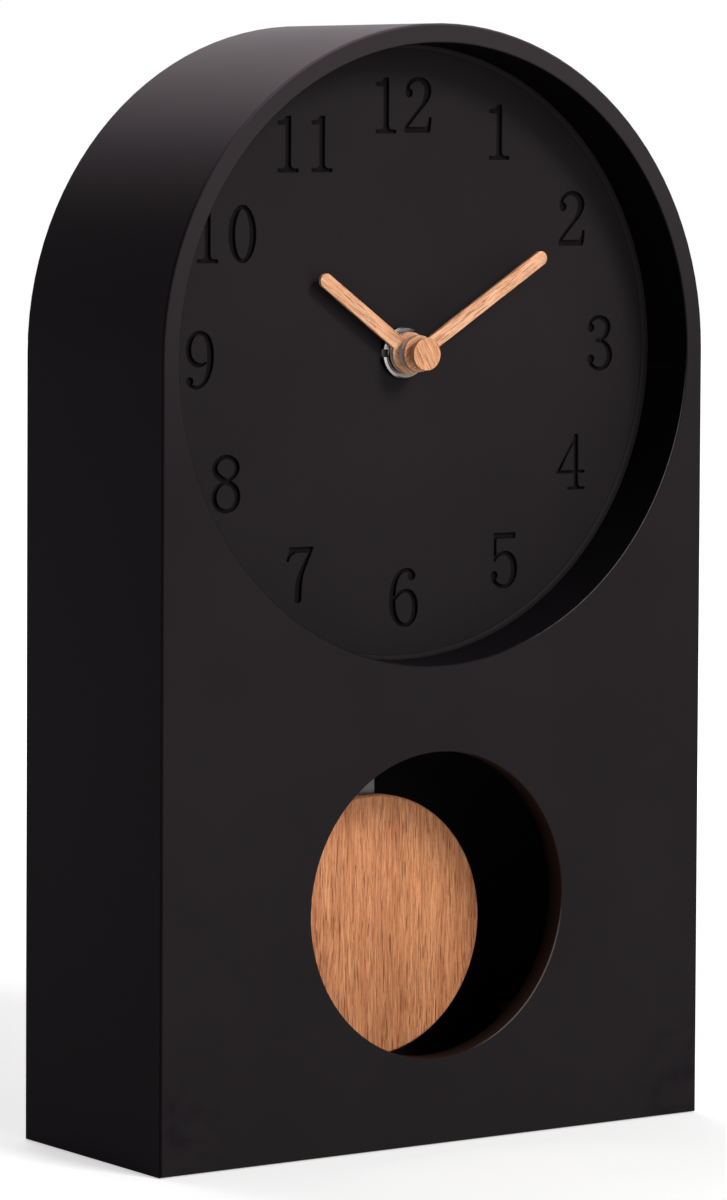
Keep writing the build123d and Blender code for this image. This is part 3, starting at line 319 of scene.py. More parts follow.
world = bpy.data.worlds.new("studio")
bpy.context.scene.world = world
world.use_nodes = True
studio = Finish("studio", world.node_tree)
levels = {"Value": direct_view(studio), "To Min": WORLD_LEVEL, "To Max": 1.0}
level = studio.node("ShaderNodeMapRange", None, levels)
sky = studio.node("ShaderNodeBackground", None, {"Color": (1, 1, 1, 1), "Strength": level})
studio.node("ShaderNodeOutputWorld", {"target": "ALL"}, {"Surface": sky})


def lamp(name, bearing, height, distance, size, share):
    """A soft box that looks at the middle of the clock. `bearing` is degrees to the right of straight
    ahead, `height` is degrees up, `distance` and `size` are metres, and `share` is the part of full light
    that it gives to a surface which faces it."""
    data = bpy.data.lights.new(name, "AREA")
    data.shape = "SQUARE"
    data.size = size
    data.energy = share * pi**2 * distance**2
    bearing, height = radians(bearing), radians(height)
    away = Vector((sin(bearing) * cos(height), -cos(bearing) * cos(height), sin(height)))
    box = bpy.data.objects.new(name, data)
    box.location = away * distance + LAMP_TARGET
    box.rotation_euler = (-away).to_track_quat("-Z", "Y").to_euler()
    bpy.context.scene.collection.objects.link(box)


lamp("key_light", bearing=13, height=32, distance=1.25, size=0.34, share=0.7)
lamp("front_light", bearing=-4, height=12, distance=2.0, size=0.8, share=0.25)
lamp("ceiling_light", bearing=178, height=62, distance=1.3, size=0.8, share=0.5)
bpy.context.scene.view_settings.view_transform = "Standard"
print("lamps:", len(bpy.data.lights))

# %% [markdown]
# ## Black lacquer over fibreboard
# The boards are sprayed satin black. Seen close the lacquer has a very fine orange peel, a few dust nibs,
# and a slow drift of sheen where hands have touched it. The colour hardly changes, so the life is in the
# roughness and in the bump. The front and the dial are sprayed in one go. Some light and shade is painted
# into the colour: the front is painted lighter towards its top, the recess's wall gets painted shade that
# is darkest at the top, and the outer wall, a bent board, is coloured darker than the front as painted
# shade, with a paler painted sheen and a thin clear coat towards its top. The pendulum's opening was cut
# last: its wall is the raw brown board, with painted shade that darkens it further in. Its sharp lip and
# that of the recess carry a painted highlight, a thin bright line at the lower right, and the front's
# lower corners have dark smudges.
#
# Such marks could be painted into an image. Here each is a mask that is worked out from the place itself,
# such as the distance from the dial's axis, so it needs no unwrapping and stays sharp at any size.

# %% Places on the case, in millimetres
front_low, front_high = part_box("front_board")
front_y = front_low.y / MM
half_width = front_high.x / MM
case_top = front_high.z / MM
dial_height = case_top - half_width
RIM = 4.5
recess_radius = half_width - RIM
OPENING_HEIGHT, OPENING_RADIUS, OPENING_DEPTH = 54.75, 35.04, 5.5
print("dial at %.1f mm, recess radius %.1f mm, front at %.2f mm" % (dial_height, recess_radius, front_y))

# %% Marks of the outer boards
# Heights between which the outer wall's painted sheen and the front's painted light grow, and the
# painted shade on the recess's wall darkens
SHEEN_RISE = (dial_height + 25.0, case_top + 13.0)
TOP_LIGHT_RISE = (dial_height - 40.0, case_top)
WALL_SHADE_RISE = (-66.0, -25.0)
SMUDGE_HEIGHT, SMUDGE_CORE, SMUDGE_REACH = 7.0, 20.0, 22.0
LIP_WAY = (0.78, -0.62)


def outer_wall(finish, base, drift, across, height):
    """The bent wall outside the front, coloured darker than the front as painted shade, with a paler
    painted sheen towards its top. Its mask is the distance from the dial's axis, and below that from the
    middle of the clock. The front itself is painted lighter towards its top, as painted light. Gives the
    colour, the wall's mask and the coat weight of the top under the painted sheen."""
    above = finish.larger(height - dial_height, 0.0)
    radius = (across * across + above * above) ** 0.5
    outer = finish.rise(radius, half_width - 0.7, half_width - 0.2)
    painted_top_sheen = finish.rise(height, *SHEEN_RISE)
    # Painted shade: the outer wall is coloured darker than the front
    base = finish.blend(outer, base, finish.blend(drift, tone(13, 8, 12), tone(19, 14, 18)))
    # Painted sheen: the outer wall is coloured paler and purplish towards its top
    base = finish.blend(outer * painted_top_sheen, base, tone(80, 67, 74))
    # Painted light: the front is coloured lighter towards its top
    painted_top_light = finish.rise(height, *TOP_LIGHT_RISE) * (1.0 - outer)
    return finish.blend(painted_top_light * 0.5, base, tone(58, 54, 56)), outer, outer * painted_top_sheen * 0.2


def recess_wall_shade(finish, base, to_dial, level):
    """Painted shade on the recess's wall, which is what lies nearer to the dial's axis than the rim. The
    painted shade is darkest at the top.
    """
    wall = finish.rise(to_dial, recess_radius + 0.05, recess_radius + 0.45, 1.0, 0.0)
    # Painted shade: the recess's wall is coloured darker, and darkest at the top
    shade = finish.blend(finish.rise(level, *WALL_SHADE_RISE), tone(22, 20, 22), tone(9, 8, 10))
    return finish.blend(wall, base, shade)


def foot_smudges(finish, base, outer, across, height):
    """Patches of noise that fade out with the squared distance from the front's two lower corners."""
    to_side = half_width - finish.absolute(across)
    corner = to_side * to_side + (height - SMUDGE_HEIGHT) ** 2.0
    rubs = finish.noise(finish.spot((0.13, 0.13, 0.19)), detail=5.0, roughness=0.7)
    smudge = finish.rise(corner, SMUDGE_CORE, SMUDGE_REACH**2, 1.0, 0.0) * finish.rise(rubs, 0.38, 0.72)
    return finish.blend(smudge * (1.0 - outer) * 0.45, base, tone(15, 11, 16))


def raw_cut(finish, base, to_opening, depth):
    """The opening's wall: flecks of raw board, with painted shade that darkens them further in. Gives the
    colour and the wall's mask.
    """
    cut = finish.rise(to_opening, OPENING_RADIUS + 0.12, OPENING_RADIUS + 0.24, 1.0, 0.0)
    chips = finish.noise(finish.spot((1.2, 0.7, 1.2)), detail=3.0)
    flecked = finish.blend(chips, tone(47, 33, 28), tone(34, 23, 19))
    # Painted shade: the opening's wall darkens further in from the front
    inward_shade = finish.rise(depth, front_y, front_y + OPENING_DEPTH)
    return finish.blend(cut, base, finish.blend(inward_shade, flecked, tone(12, 8, 7))), cut


def lip_highlight(finish, base, across, depth, radius, rise, edge):
    """A painted highlight: a thin bright line on the front, at the radius `edge`, where the way outwards
    points to `LIP_WAY`.
    """
    lip = finish.rise(depth, front_y + 0.3, front_y + 0.4, 1.0, 0.0)
    low_right = finish.rise((across * LIP_WAY[0] + rise * LIP_WAY[1]) / radius, 0.78, 0.97)
    outside = finish.rise(radius, edge + 0.12, edge + 0.2, 1.0, 0.0)
    near = finish.rise(radius, edge - 0.1, edge) * outside
    return finish.blend(near * lip * low_right * 0.6, base, tone(112, 106, 106))


print("opening at %.2f mm, radius %.2f mm" % (OPENING_HEIGHT, OPENING_RADIUS))

# %% Lacquer
def case_marks(finish, base, drift):
    """Lays all the marks, real ones and painted light and shade, over a colour. Gives the colour, the
    shine and the raw cut's mask.
    """
    across, depth, height = (finish.part(finish.spot(), axis) for axis in "XYZ")
    level, fallen = height - dial_height, height - OPENING_HEIGHT
    to_dial = (across * across + level * level) ** 0.5
    to_opening = (across * across + fallen * fallen) ** 0.5
    base, outer, shine = outer_wall(finish, base, drift, across, height)
    base = recess_wall_shade(finish, base, to_dial, level)
    base = foot_smudges(finish, base, outer, across, height)
    base, cut = raw_cut(finish, base, to_opening, depth)
    # Painted highlights on the lips of the opening and of the recess
    base = lip_highlight(finish, base, across, depth, to_opening, fallen, OPENING_RADIUS)
    base = lip_highlight(finish, base, across, depth, to_dial, level, recess_radius)
    return base, shine, cut


def lacquer(name, color, rough=0.42, sheen=0.012, case=False, sunk=None):
    """`case` adds the marks of the outer boards, with their painted light and shade. Below the depth `sunk`
    the colour darkens, as painted shade in a groove.
    A noise's three numbers are its lumps to a millimetre along X, Y and Z."""
    finish = Finish(name)
    drift = finish.noise(finish.spot((0.03, 0.03, 0.03)), detail=3.0)
    peel = finish.noise(finish.spot((1.6, 1.6, 1.6)), detail=2.0)
    nib = finish.rise(finish.noise(finish.spot((0.9, 0.9, 0.9)), detail=0.0), 0.78, 0.84)
    lighter = tuple(1.3 * value + 0.0008 for value in color)
    base = finish.blend(drift, color, lighter)
    roughness = drift * 0.12 + peel * 0.06 + (rough - 0.09)
    shine = 0.0
    if sunk is not None:
        # Painted shade: the floors and walls of the grooves are coloured at half the lacquer's colour
        groove = finish.rise(finish.part(finish.spot(), "Y"), sunk, sunk + 0.3)
        base = finish.blend(groove, base, tuple(0.5 * value for value in color))
    if case:
        base, shine, cut = case_marks(finish, base, drift)
        roughness = roughness + cut * 0.4
    return finish.surface(
        base_color=base,
        roughness=roughness,
        specular_ior_level=sheen,
        coat_weight=shine,
        coat_roughness=0.32,
        normal=finish.dent(peel + nib * 0.8, 0.012),
    )


dial_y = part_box("dial_board")[0].y / MM
case_lacquer = lacquer("case_lacquer", tone(30, 27, 29), case=True)
dial_lacquer = lacquer("dial_lacquer", tone(31, 28, 29), sunk=dial_y + 0.1)
inside_lacquer = lacquer("inside_lacquer", tone(9, 9, 10), rough=0.6, sheen=0.02)
back_lacquer = lacquer("back_lacquer", tone(33, 31, 32), rough=0.5)
print("lacquers made:", len(bpy.data.materials) - 1)

# %% [markdown]
# ## Wood
# The bob is faced with straight-grained orange-brown veneer, and the hands and cap are a paler wood. A
# picture of veneer would do, but it shows its seams, and a hand would need its own piece of it. Grain can
# also be noise that is drawn out along one axis: broad bands of colour, finer streaks in them, fibres
# that are dark or catch the light, and short dark pores. The place is first pushed sideways by a slow
# noise, so that no line is quite straight. Each piece turns the pattern so that the grain runs along it.

# %% Grain
def wood(name, light, dark, pore, angle=0.0, band=3.0, rough=0.5, relief=0.12, weight=0.8):
    """Grain along a direction in the dial's plane, `angle` degrees clockwise from upright. `band` is the
    width in millimetres of a stripe of colour, `weight` is how much the fibres darken or lighten the wood,
    and `relief` is how far they stand out. Of a noise's three numbers the last is along the grain."""
    finish = Finish(name)
    turned = finish.spot(turn=(0, radians(-angle), 0))
    sway = finish.noise(finish.stretched(turned, (0.25, 0.25, 0.05)), detail=1.0)
    push = finish.node("ShaderNodeCombineXYZ", None, {"X": (sway - 0.5) * (0.6 * band)})
    swayed = finish.node("ShaderNodeVectorMath", {"operation": "ADD"}, {0: turned, 1: push})
    broad = finish.stretched(swayed, (1 / band, 1 / band, 0.05 / band))
    narrow = finish.stretched(swayed, (4 / band, 4 / band, 0.14 / band))
    bands = finish.noise(broad, detail=3.0, roughness=0.6)
    streaks = finish.noise(narrow, detail=3.0, roughness=0.65)
    fibres = finish.noise(finish.stretched(swayed, (5.0, 5.0, 0.2)), detail=3.0, roughness=0.75)
    hairs = finish.rise(finish.noise(finish.stretched(swayed, (3.6, 3.6, 0.09)), detail=2.0), 0.55, 0.66)
    pits = finish.rise(finish.noise(finish.stretched(swayed, (2.4, 2.4, 0.12)), detail=1.0), 0.66, 0.73)
    mixed = finish.rise(bands * 0.5 + streaks * 0.5, 0.36, 0.64)
    base = finish.blend(mixed * 0.62, light, dark)
    base = finish.blend(finish.rise(fibres, 0.49, 0.6) * weight, base, dark)
    base = finish.blend(hairs * (weight * 0.8), base, light)
    base = finish.blend(pits * (weight * 0.7), base, pore)
    return finish.surface(
        base_color=base,
        roughness=mixed * 0.1 + pits * 0.2 + (rough - 0.05),
        specular_ior_level=0.3,
        normal=finish.dent(hairs * 0.5 - fibres * 0.6 - pits, relief),
    )


HOUR_ANGLE, MINUTE_ANGLE, CAP_ANGLE = 305.8, 58.1, -25.0
orange = (tone(230, 158, 110), tone(156, 87, 50), tone(90, 47, 28))
pale = (tone(232, 180, 140), tone(158, 92, 57), tone(116, 66, 42))
cap_tones = (tone(230, 170, 126), tone(150, 84, 51), pale[2])
bob_wood = wood("bob_wood", *orange, relief=0.2, weight=0.85)
hour_wood = wood("hour_wood", *pale, angle=HOUR_ANGLE, band=0.9, weight=0.9)
minute_wood = wood("minute_wood", *pale, angle=MINUTE_ANGLE, band=0.9, weight=0.9)
cap_wood = wood("cap_wood", *cap_tones, angle=CAP_ANGLE, band=0.7, weight=0.9)
print("grain of the hands at %.1f and %.1f degrees" % (HOUR_ANGLE, MINUTE_ANGLE))

# %% [markdown]
# ## Metals, plastics and the rest
# The movement is moulded plastic with steel, iron and copper in it. One colour and one roughness for each
# would look like a toy. So each gets its own small marks: drawn and rolled metal has faint lines along
# it, and moulded plastic has the fine grain of a spark-eroded mould. Two functions make them all, from
# their colour, their roughness and the size of their grain.

# %% Metals and plastics
def metal(name, color, rough=0.25, grain=(0.2, 0.2, 8.0)):
    """Bare metal. `grain` is the size of its marks in millimetres: a long one draws them out into lines."""
    finish = Finish(name)
    lines = finish.noise(finish.spot(tuple(1 / size for size in grain)), detail=2.0)
    haze = finish.noise(finish.spot((0.3, 0.3, 0.3)), detail=2.0)
    darker = tuple(value * 0.82 for value in color)
    return finish.surface(
        base_color=finish.blend(haze, color, darker),
        metallic=1.0,
        roughness=lines * 0.08 + haze * 0.06 + (rough - 0.07),
        normal=finish.dent(lines, 0.004),
    )


def plastic(name, color, rough=0.5, grain=0.25, sheen=0.4):
    """Moulded plastic, with pits of `grain` millimetres and a slow drift of colour where it flowed."""
    finish = Finish(name)
    erosion = finish.noise(finish.spot((1 / grain, 1 / grain, 1 / grain)), detail=2.0)
    flow = finish.noise(finish.spot((0.08, 0.08, 0.08)), detail=2.0)
    darker = tuple(value * 0.88 for value in color)
    return finish.surface(
        base_color=finish.blend(flow, color, darker),
        roughness=erosion * 0.1 + (rough - 0.05),
        specular_ior_level=sheen,
        normal=finish.dent(erosion, 0.015),
    )


steel = metal("steel", (0.5, 0.5, 0.51), rough=0.28)
satin_steel = metal("satin_steel", (0.6, 0.6, 0.65), rough=0.65)
dulled_nickel = metal("dulled_nickel", (0.2, 0.19, 0.18), rough=0.35, grain=(0.3, 0.3, 0.3))
black_screw = metal("black_screw", (0.09, 0.09, 0.095), rough=0.38)
motor_iron = metal("motor_iron", (0.42, 0.42, 0.43), rough=0.42)
magnet_grey = metal("magnet_grey", (0.24, 0.24, 0.25), rough=0.5, grain=(0.15, 0.15, 0.15))
rod_metal = metal("rod_metal", (0.12, 0.116, 0.12), rough=0.45, grain=(0.12, 0.12, 14.0))
copper = metal("copper", (0.62, 0.27, 0.12), rough=0.3, grain=(8.0, 0.12, 0.12))
black_plastic = plastic("black_plastic", tone(24, 24, 25))
white_plastic = plastic("white_plastic", tone(226, 223, 212), rough=0.42)
green_board = plastic("green_board", tone(38, 96, 62), rough=0.35)
chip_black = plastic("chip_black", tone(20, 20, 21), rough=0.6)
rubber = plastic("rubber", tone(22, 22, 22), rough=0.75, sheen=0.2)
raw_board = plastic("raw_board", tone(120, 76, 58), rough=0.85, grain=0.35, sheen=0.1)
print("materials so far:", len(bpy.data.materials))

# %% The cell's film and the nut's plating
FILM_GREY, CELL_PLUS, CELL_MINUS = 14.0, 2.4, 0.4
NUT_RIM, NUT_BEVEL = 5.45, 0.5


def cell_skin():
    """A plain shrink film on the cell: dark, with one grey end, and bare steel at both tips."""
    finish = Finish("cell_skin")
    across = finish.part(finish.spot(), "X")
    low, high = (corner.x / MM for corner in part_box("battery_cell"))
    crease = finish.noise(finish.spot((0.4, 0.9, 0.9)), detail=3.0)
    grey_end = finish.rise(across, high - FILM_GREY, high - FILM_GREY + 0.3)
    film = finish.blend(grey_end, tone(44, 46, 50), tone(150, 150, 148))
    minus_tip = finish.rise(across, low + CELL_MINUS, low + CELL_MINUS + 0.2, 1.0, 0.0)
    bare = minus_tip + finish.rise(across, high - CELL_PLUS, high - CELL_PLUS + 0.2)
    return finish.surface(
        base_color=finish.blend(bare, film, (0.55, 0.55, 0.56)),
        metallic=bare,
        roughness=crease * 0.1 + 0.24,
        specular_ior_level=0.4,
        normal=finish.dent(crease, 0.03),
    )


def plated_nut():
    """Chrome on a turned nut, with painted light: its bevelled rim is coloured bright as a painted
    highlight, its flat face is dull and dark but for one painted bright streak towards the upper left, and
    its side is coloured near black as painted shade. The rings are noise on the distance from the dial's
    axis."""
    finish = Finish("plated_nut")
    across, depth, height = (finish.part(finish.spot(), axis) for axis in "XYZ")
    level = height - dial_height
    radius = (across * across + level * level) ** 0.5
    toward_left = (level * 0.45 - across * 0.9) / radius
    rings = finish.noise(finish.node("ShaderNodeCombineXYZ", None, {"X": radius * 6.0}), detail=2.0)
    face = finish.blend(rings, (0.10, 0.085, 0.075), (0.24, 0.21, 0.19))
    # Painted highlight: a bright streak on the face towards the upper left
    face = finish.blend(finish.rise(toward_left, 0.8, 0.95), face, (0.8, 0.79, 0.78))
    bevel_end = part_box("hand_nut")[0].y / MM + NUT_BEVEL
    before_side = finish.rise(depth, bevel_end - 0.05, bevel_end + 0.05, 1.0, 0.0)
    # Painted shade: the nut's side is coloured near black
    side = finish.rise(depth, bevel_end - 0.05, bevel_end + 0.05)
    # Painted highlight: the bevelled rim is coloured bright
    face = finish.blend(finish.rise(radius, NUT_RIM, NUT_RIM + 0.2) * before_side, face, (0.42, 0.4, 0.38))
    return finish.surface(
        base_color=finish.blend(side, face, (0.035, 0.032, 0.03)),
        metallic=1.0,
        roughness=rings * 0.1 + 0.15,
    )


cell_jacket = cell_skin()
nut_chrome = plated_nut()
print("materials:", len(bpy.data.materials))

# %% [markdown]
# ## The figures of the dial
# The hours are sunk into the dial board with a round cutter, about a millimetre deep, and lacquered over,
# so their upper edges are soft. Blender's own text would need a font with the same shapes. A letter
# cutter thinks in strokes, and so does this table: a stroke is a row of places, each with half its width,
# in millimetres from the middle of its figure. A round ending is a pit.

# %% Strokes of the ten figures
ONE = {
    "strokes": [
        [(0, 6.35, 0.75), (0, 0, 0.75), (0, -4.4, 0.76), (0, -4.9, 0.86), (0, -5.2, 1.02),
         (0, -5.4, 1.3), (0, -5.6, 1.8)],
        [(-2.85, 4.8, 0.4), (-1.4, 4.93, 0.52), (-0.3, 5.3, 0.9)],
        [(-2.85, -5.95, 0.42), (2.85, -5.95, 0.42)],
    ],
    "pits": [],
}
TWO = {
    "strokes": [
        [(-3.05, 3.3, 0.5), (-2.85, 4.55, 0.47), (-2.1, 5.5, 0.45), (-1.0, 6.05, 0.45),
         (0.2, 6.15, 0.47), (1.3, 5.8, 0.65), (2.3, 4.95, 0.85), (2.75, 3.7, 0.92), (2.45, 2.2, 0.85),
         (1.75, 0.9, 0.62), (0.9, -0.2, 0.47), (-0.4, -1.6, 0.42), (-1.6, -2.9, 0.4), (-2.7, -4.1, 0.4),
         (-3.4, -5.0, 0.4)],
        [(-3.8, -5.42, 0.64), (3.35, -5.42, 0.64)],
        [(3.45, -2.55, 0.36), (3.3, -3.6, 0.42), (3.0, -4.6, 0.6), (2.75, -5.4, 0.74)],
    ],
    "pits": [(-2.55, 3.0, 1.02)],
}
THREE = {
    "strokes": [
        [(-2.95, 3.7, 0.45), (-2.65, 4.8, 0.42), (-1.8, 5.5, 0.42), (-0.7, 5.8, 0.42), (0.4, 5.72, 0.48),
         (1.5, 5.2, 0.62), (2.2, 4.35, 0.73), (2.35, 3.3, 0.75), (2.0, 2.1, 0.68), (1.3, 1.1, 0.5),
         (0.3, 0.5, 0.4), (-1.15, 0.35, 0.38)],
        [(-0.8, 0.35, 0.36), (0.6, 0.15, 0.42), (1.7, -0.5, 0.55), (2.5, -1.6, 0.73), (2.88, -3.0, 0.8),
         (2.6, -4.4, 0.75), (1.8, -5.55, 0.6), (0.6, -6.2, 0.46), (-0.6, -6.25, 0.4), (-1.8, -5.8, 0.42),
         (-2.6, -5.05, 0.48), (-3.0, -4.2, 0.55)],
    ],
    "pits": [(-2.6, 3.4, 0.95), (-2.6, -3.95, 1.0)],
}
FOUR = {
    "strokes": [
        [(1.48, 6.3, 0.6), (1.55, -4.8, 0.6), (1.55, -5.5, 0.66), (1.55, -5.85, 0.85),
         (1.55, -6.2, 1.3)],
        [(1.6, 5.85, 0.36), (-3.65, -2.4, 0.36)],
        [(-4.2, -2.5, 0.35), (4.1, -2.5, 0.35)],
        [(-0.9, -6.42, 0.3), (4.1, -6.42, 0.3)],
    ],
    "pits": [],
}
FIVE = {
    "strokes": [
        [(-2.95, 5.45, 0.68), (3.3, 5.42, 0.66)],
        [(-2.5, 6.0, 0.43), (-2.52, 0.5, 0.42)],
        [(-2.8, -0.4, 0.36), (-2.15, 0.4, 0.38), (-1.2, 1.05, 0.4), (0, 1.38, 0.42), (1.2, 1.1, 0.6),
         (2.3, 0.1, 0.8), (2.85, -1.3, 0.88), (2.95, -2.6, 0.9), (2.7, -4.2, 0.82), (2.0, -5.5, 0.65),
         (0.9, -6.22, 0.48), (-0.3, -6.38, 0.4), (-1.6, -6.0, 0.42), (-2.6, -5.2, 0.48),
         (-3.15, -4.2, 0.55)],
    ],
    "pits": [(-2.75, -3.8, 1.0)],
}
SIX = {
    "strokes": [
        [(2.9, 5.55, 0.38), (2.2, 6.15, 0.42), (1.0, 6.38, 0.42), (-0.3, 6.1, 0.46), (-1.4, 5.2, 0.56),
         (-2.25, 3.8, 0.7), (-2.75, 2.0, 0.8), (-2.95, 0, 0.85), (-2.88, -2.0, 0.85), (-2.4, -3.9, 0.75),
         (-1.4, -5.4, 0.6), (-0.1, -6.15, 0.45), (1.1, -6.28, 0.42)],
        [(0.3, -6.25, 0.4), (1.4, -6.15, 0.45), (2.4, -5.5, 0.58), (3.15, -4.2, 0.75), (3.42, -2.3, 0.8),
         (3.15, -0.4, 0.75), (2.3, 1.0, 0.58), (1.0, 1.6, 0.42), (-0.3, 1.4, 0.4), (-1.4, 0.7, 0.38),
         (-2.2, -0.2, 0.35)],
    ],
    "pits": [(2.45, 5.05, 1.05)],
}
SEVEN = {
    "strokes": [
        [(-2.95, 5.65, 0.66), (3.35, 5.65, 0.66)],
        [(-1.6, 5.3, 0.5), (-2.55, 4.85, 0.5), (-3.05, 4.1, 0.38), (-3.35, 3.05, 0.26)],
        [(3.45, 6.2, 0.34), (2.45, 4.3, 0.45), (1.35, 2.3, 0.55), (0.4, 0.4, 0.7), (-0.2, -1.6, 0.85),
         (-0.45, -3.6, 0.92), (-0.5, -5.5, 0.93)],
    ],
    "pits": [(-0.5, -5.5, 0.95)],
}
EIGHT = {
    "strokes": [
        [(0.8, 6.25, 0.42), (-0.5, 6.3, 0.42), (-1.9, 5.8, 0.5), (-3.0, 4.7, 0.62), (-3.25, 3.6, 0.68),
         (-2.85, 2.5, 0.7), (-1.8, 1.6, 0.68), (-0.2, 0.75, 0.62), (1.4, -0.1, 0.68), (2.5, -1.3, 0.75),
         (2.85, -2.8, 0.75), (2.55, -4.2, 0.65), (1.6, -5.4, 0.5), (0.1, -5.93, 0.42),
         (-1.2, -5.8, 0.45)],
        [(0.6, -5.9, 0.4), (-0.7, -5.92, 0.42), (-2.2, -5.3, 0.52), (-3.15, -4.2, 0.62),
         (-3.45, -2.9, 0.66), (-3.1, -1.4, 0.6), (-2.1, -0.2, 0.48), (-0.6, 0.6, 0.42),
         (1.0, 1.25, 0.42), (2.2, 2.2, 0.5), (2.8, 3.6, 0.6), (2.4, 5.0, 0.58), (1.2, 6.0, 0.46),
         (-0.2, 6.3, 0.4)],
    ],
    "pits": [],
}
NINE = {
    "strokes": [
        [(-3.3, -4.9, 0.5), (-2.85, -5.6, 0.42), (-2.0, -6.05, 0.38), (-0.9, -6.2, 0.38),
         (0.3, -5.7, 0.42), (1.4, -4.5, 0.55), (2.1, -2.8, 0.72), (2.5, -0.8, 0.85), (2.58, 1.2, 0.88),
         (2.35, 3.1, 0.85), (1.7, 4.8, 0.72), (0.7, 5.75, 0.5), (-0.5, 6.05, 0.42), (-1.8, 5.6, 0.5),
         (-2.8, 4.4, 0.62), (-3.3, 2.7, 0.7), (-3.15, 1.0, 0.7), (-2.5, -0.2, 0.66), (-1.4, -0.98, 0.58),
         (-0.1, -1.2, 0.42), (0.9, -0.95, 0.28), (1.5, -0.55, 0.15)],
    ],
    "pits": [(-2.95, -4.8, 0.95)],
}
NOUGHT = {
    "strokes": [
        [(1.0, 6.1, 0.48), (-0.2, 6.18, 0.46), (-1.3, 5.5, 0.62), (-2.15, 4.0, 0.76), (-2.7, 2.0, 0.84),
         (-2.85, 0.15, 0.86), (-2.7, -1.8, 0.84), (-2.15, -3.8, 0.74), (-1.3, -5.2, 0.58),
         (-0.2, -5.86, 0.44), (1.0, -5.7, 0.46)],
        [(-1.0, -5.6, 0.45), (0.2, -5.86, 0.44), (1.3, -5.2, 0.58), (2.15, -3.8, 0.74),
         (2.7, -1.8, 0.84), (2.85, 0.15, 0.86), (2.7, 2.0, 0.84), (2.15, 4.0, 0.76), (1.3, 5.5, 0.62),
         (0.2, 6.18, 0.46), (-1.0, 6.1, 0.46)],
    ],
    "pits": [],
}
# Each figure of each hour, with the place of its middle: across the clock, and above the floor
PLACED_FIGURES = [
    (ONE, -4.47, 236.41), (TWO, 4.43, 236.31), (ONE, 27.51, 230.43), (TWO, 48.66, 210.14),
    (THREE, 57.15, 181.35), (FOUR, 48.87, 153.62), (FIVE, 29.59, 131.41), (SIX, 0.9, 123.62),
    (SEVEN, -27.69, 130.14), (EIGHT, -47.57, 151.21), (NINE, -54.65, 179.39), (ONE, -52.97, 207.31),
    (NOUGHT, -43.67, 207.21), (ONE, -31.37, 227.55), (ONE, -22.12, 227.6),
]
stroke_count = sum(len(figure["strokes"]) for figure, x, z in PLACED_FIGURES)
print("figures:", len(PLACED_FIGURES), "strokes:", stroke_count)

# %% [markdown]
# ## Cutting them
# A stroke becomes a cutter: a closed bar whose two sides follow the stroke's edges, with a flat end below
# for the floor of the groove, and a mouth that flares outwards just under the dial's face. The flare is
# what rounds the groove's edge. One Boolean modifier then takes all the cutters from a copy of the dial
# board. Carving a grid of heights would need millions of points to show a clean edge, and a bump can't
# cast a shadow.

# %% The groove's wall and the line of a stroke
GROOVE_DEPTH = 0.95
EDGE_SOFTNESS = 0.2
CUTTER_PROUD = 0.4
MOUTH_LIFT = 0.02

# From its mouth to its floor: how far the wall stands out from the stroke's edge, and its depth
bend = np.radians([90, 60, 30, 0])
wall_out = EDGE_SOFTNESS * (1 - np.cos(bend))
wall_depth = EDGE_SOFTNESS * (1 - np.sin(bend)) - MOUTH_LIFT
wall_out = np.concatenate([wall_out[:1], wall_out, [0.0]])
wall_depth = np.concatenate([[-CUTTER_PROUD], wall_depth, [GROOVE_DEPTH]])
LEVELS = len(wall_out)


def smooth_line(rows, per_span):
    """A curve through every row: between two rows it is a cubic, whose slope at a row is half the step
    between the rows on its two sides. It works on all columns at once, so the width changes as smoothly as
    the place."""
    rows = np.asarray(rows, float)
    padded = np.vstack([2 * rows[0] - rows[1], rows, 2 * rows[-1] - rows[-2]])
    before, start, end, after = padded[:-3], padded[1:-2], padded[2:-1], padded[3:]
    t = (np.arange(per_span) / per_span)[:, None]
    weights = (
        (2 * t**2 - t**3 - t) / 2,
        (3 * t**3 - 5 * t**2 + 2) / 2,
        (4 * t**2 - 3 * t**3 + t) / 2,
        (t**3 - t**2) / 2,
    )
    ends = (before, start, end, after)
    curve = sum(weight[None] * point[:, None] for weight, point in zip(weights, ends))
    return np.vstack([curve.reshape(-1, rows.shape[1]), rows[-1:]])


print("groove %.2f mm deep, in %d levels" % (GROOVE_DEPTH, LEVELS))

# %% Cutters from strokes and pits
POINTS_PER_SPAN = 6
PIT_SIDES = 48


def new_piece(name, points, faces, material=None):
    """A mesh object from points in millimetres, in the clock's frame."""
    mesh = bpy.data.meshes.new(name)
    mesh.from_pydata((np.asarray(points) * MM).tolist(), [], faces)
    mesh.validate()
    piece = bpy.data.objects.new(name, mesh)
    bpy.context.scene.collection.objects.link(piece)
    if material is not None:
        mesh.materials.append(material)
    return piece


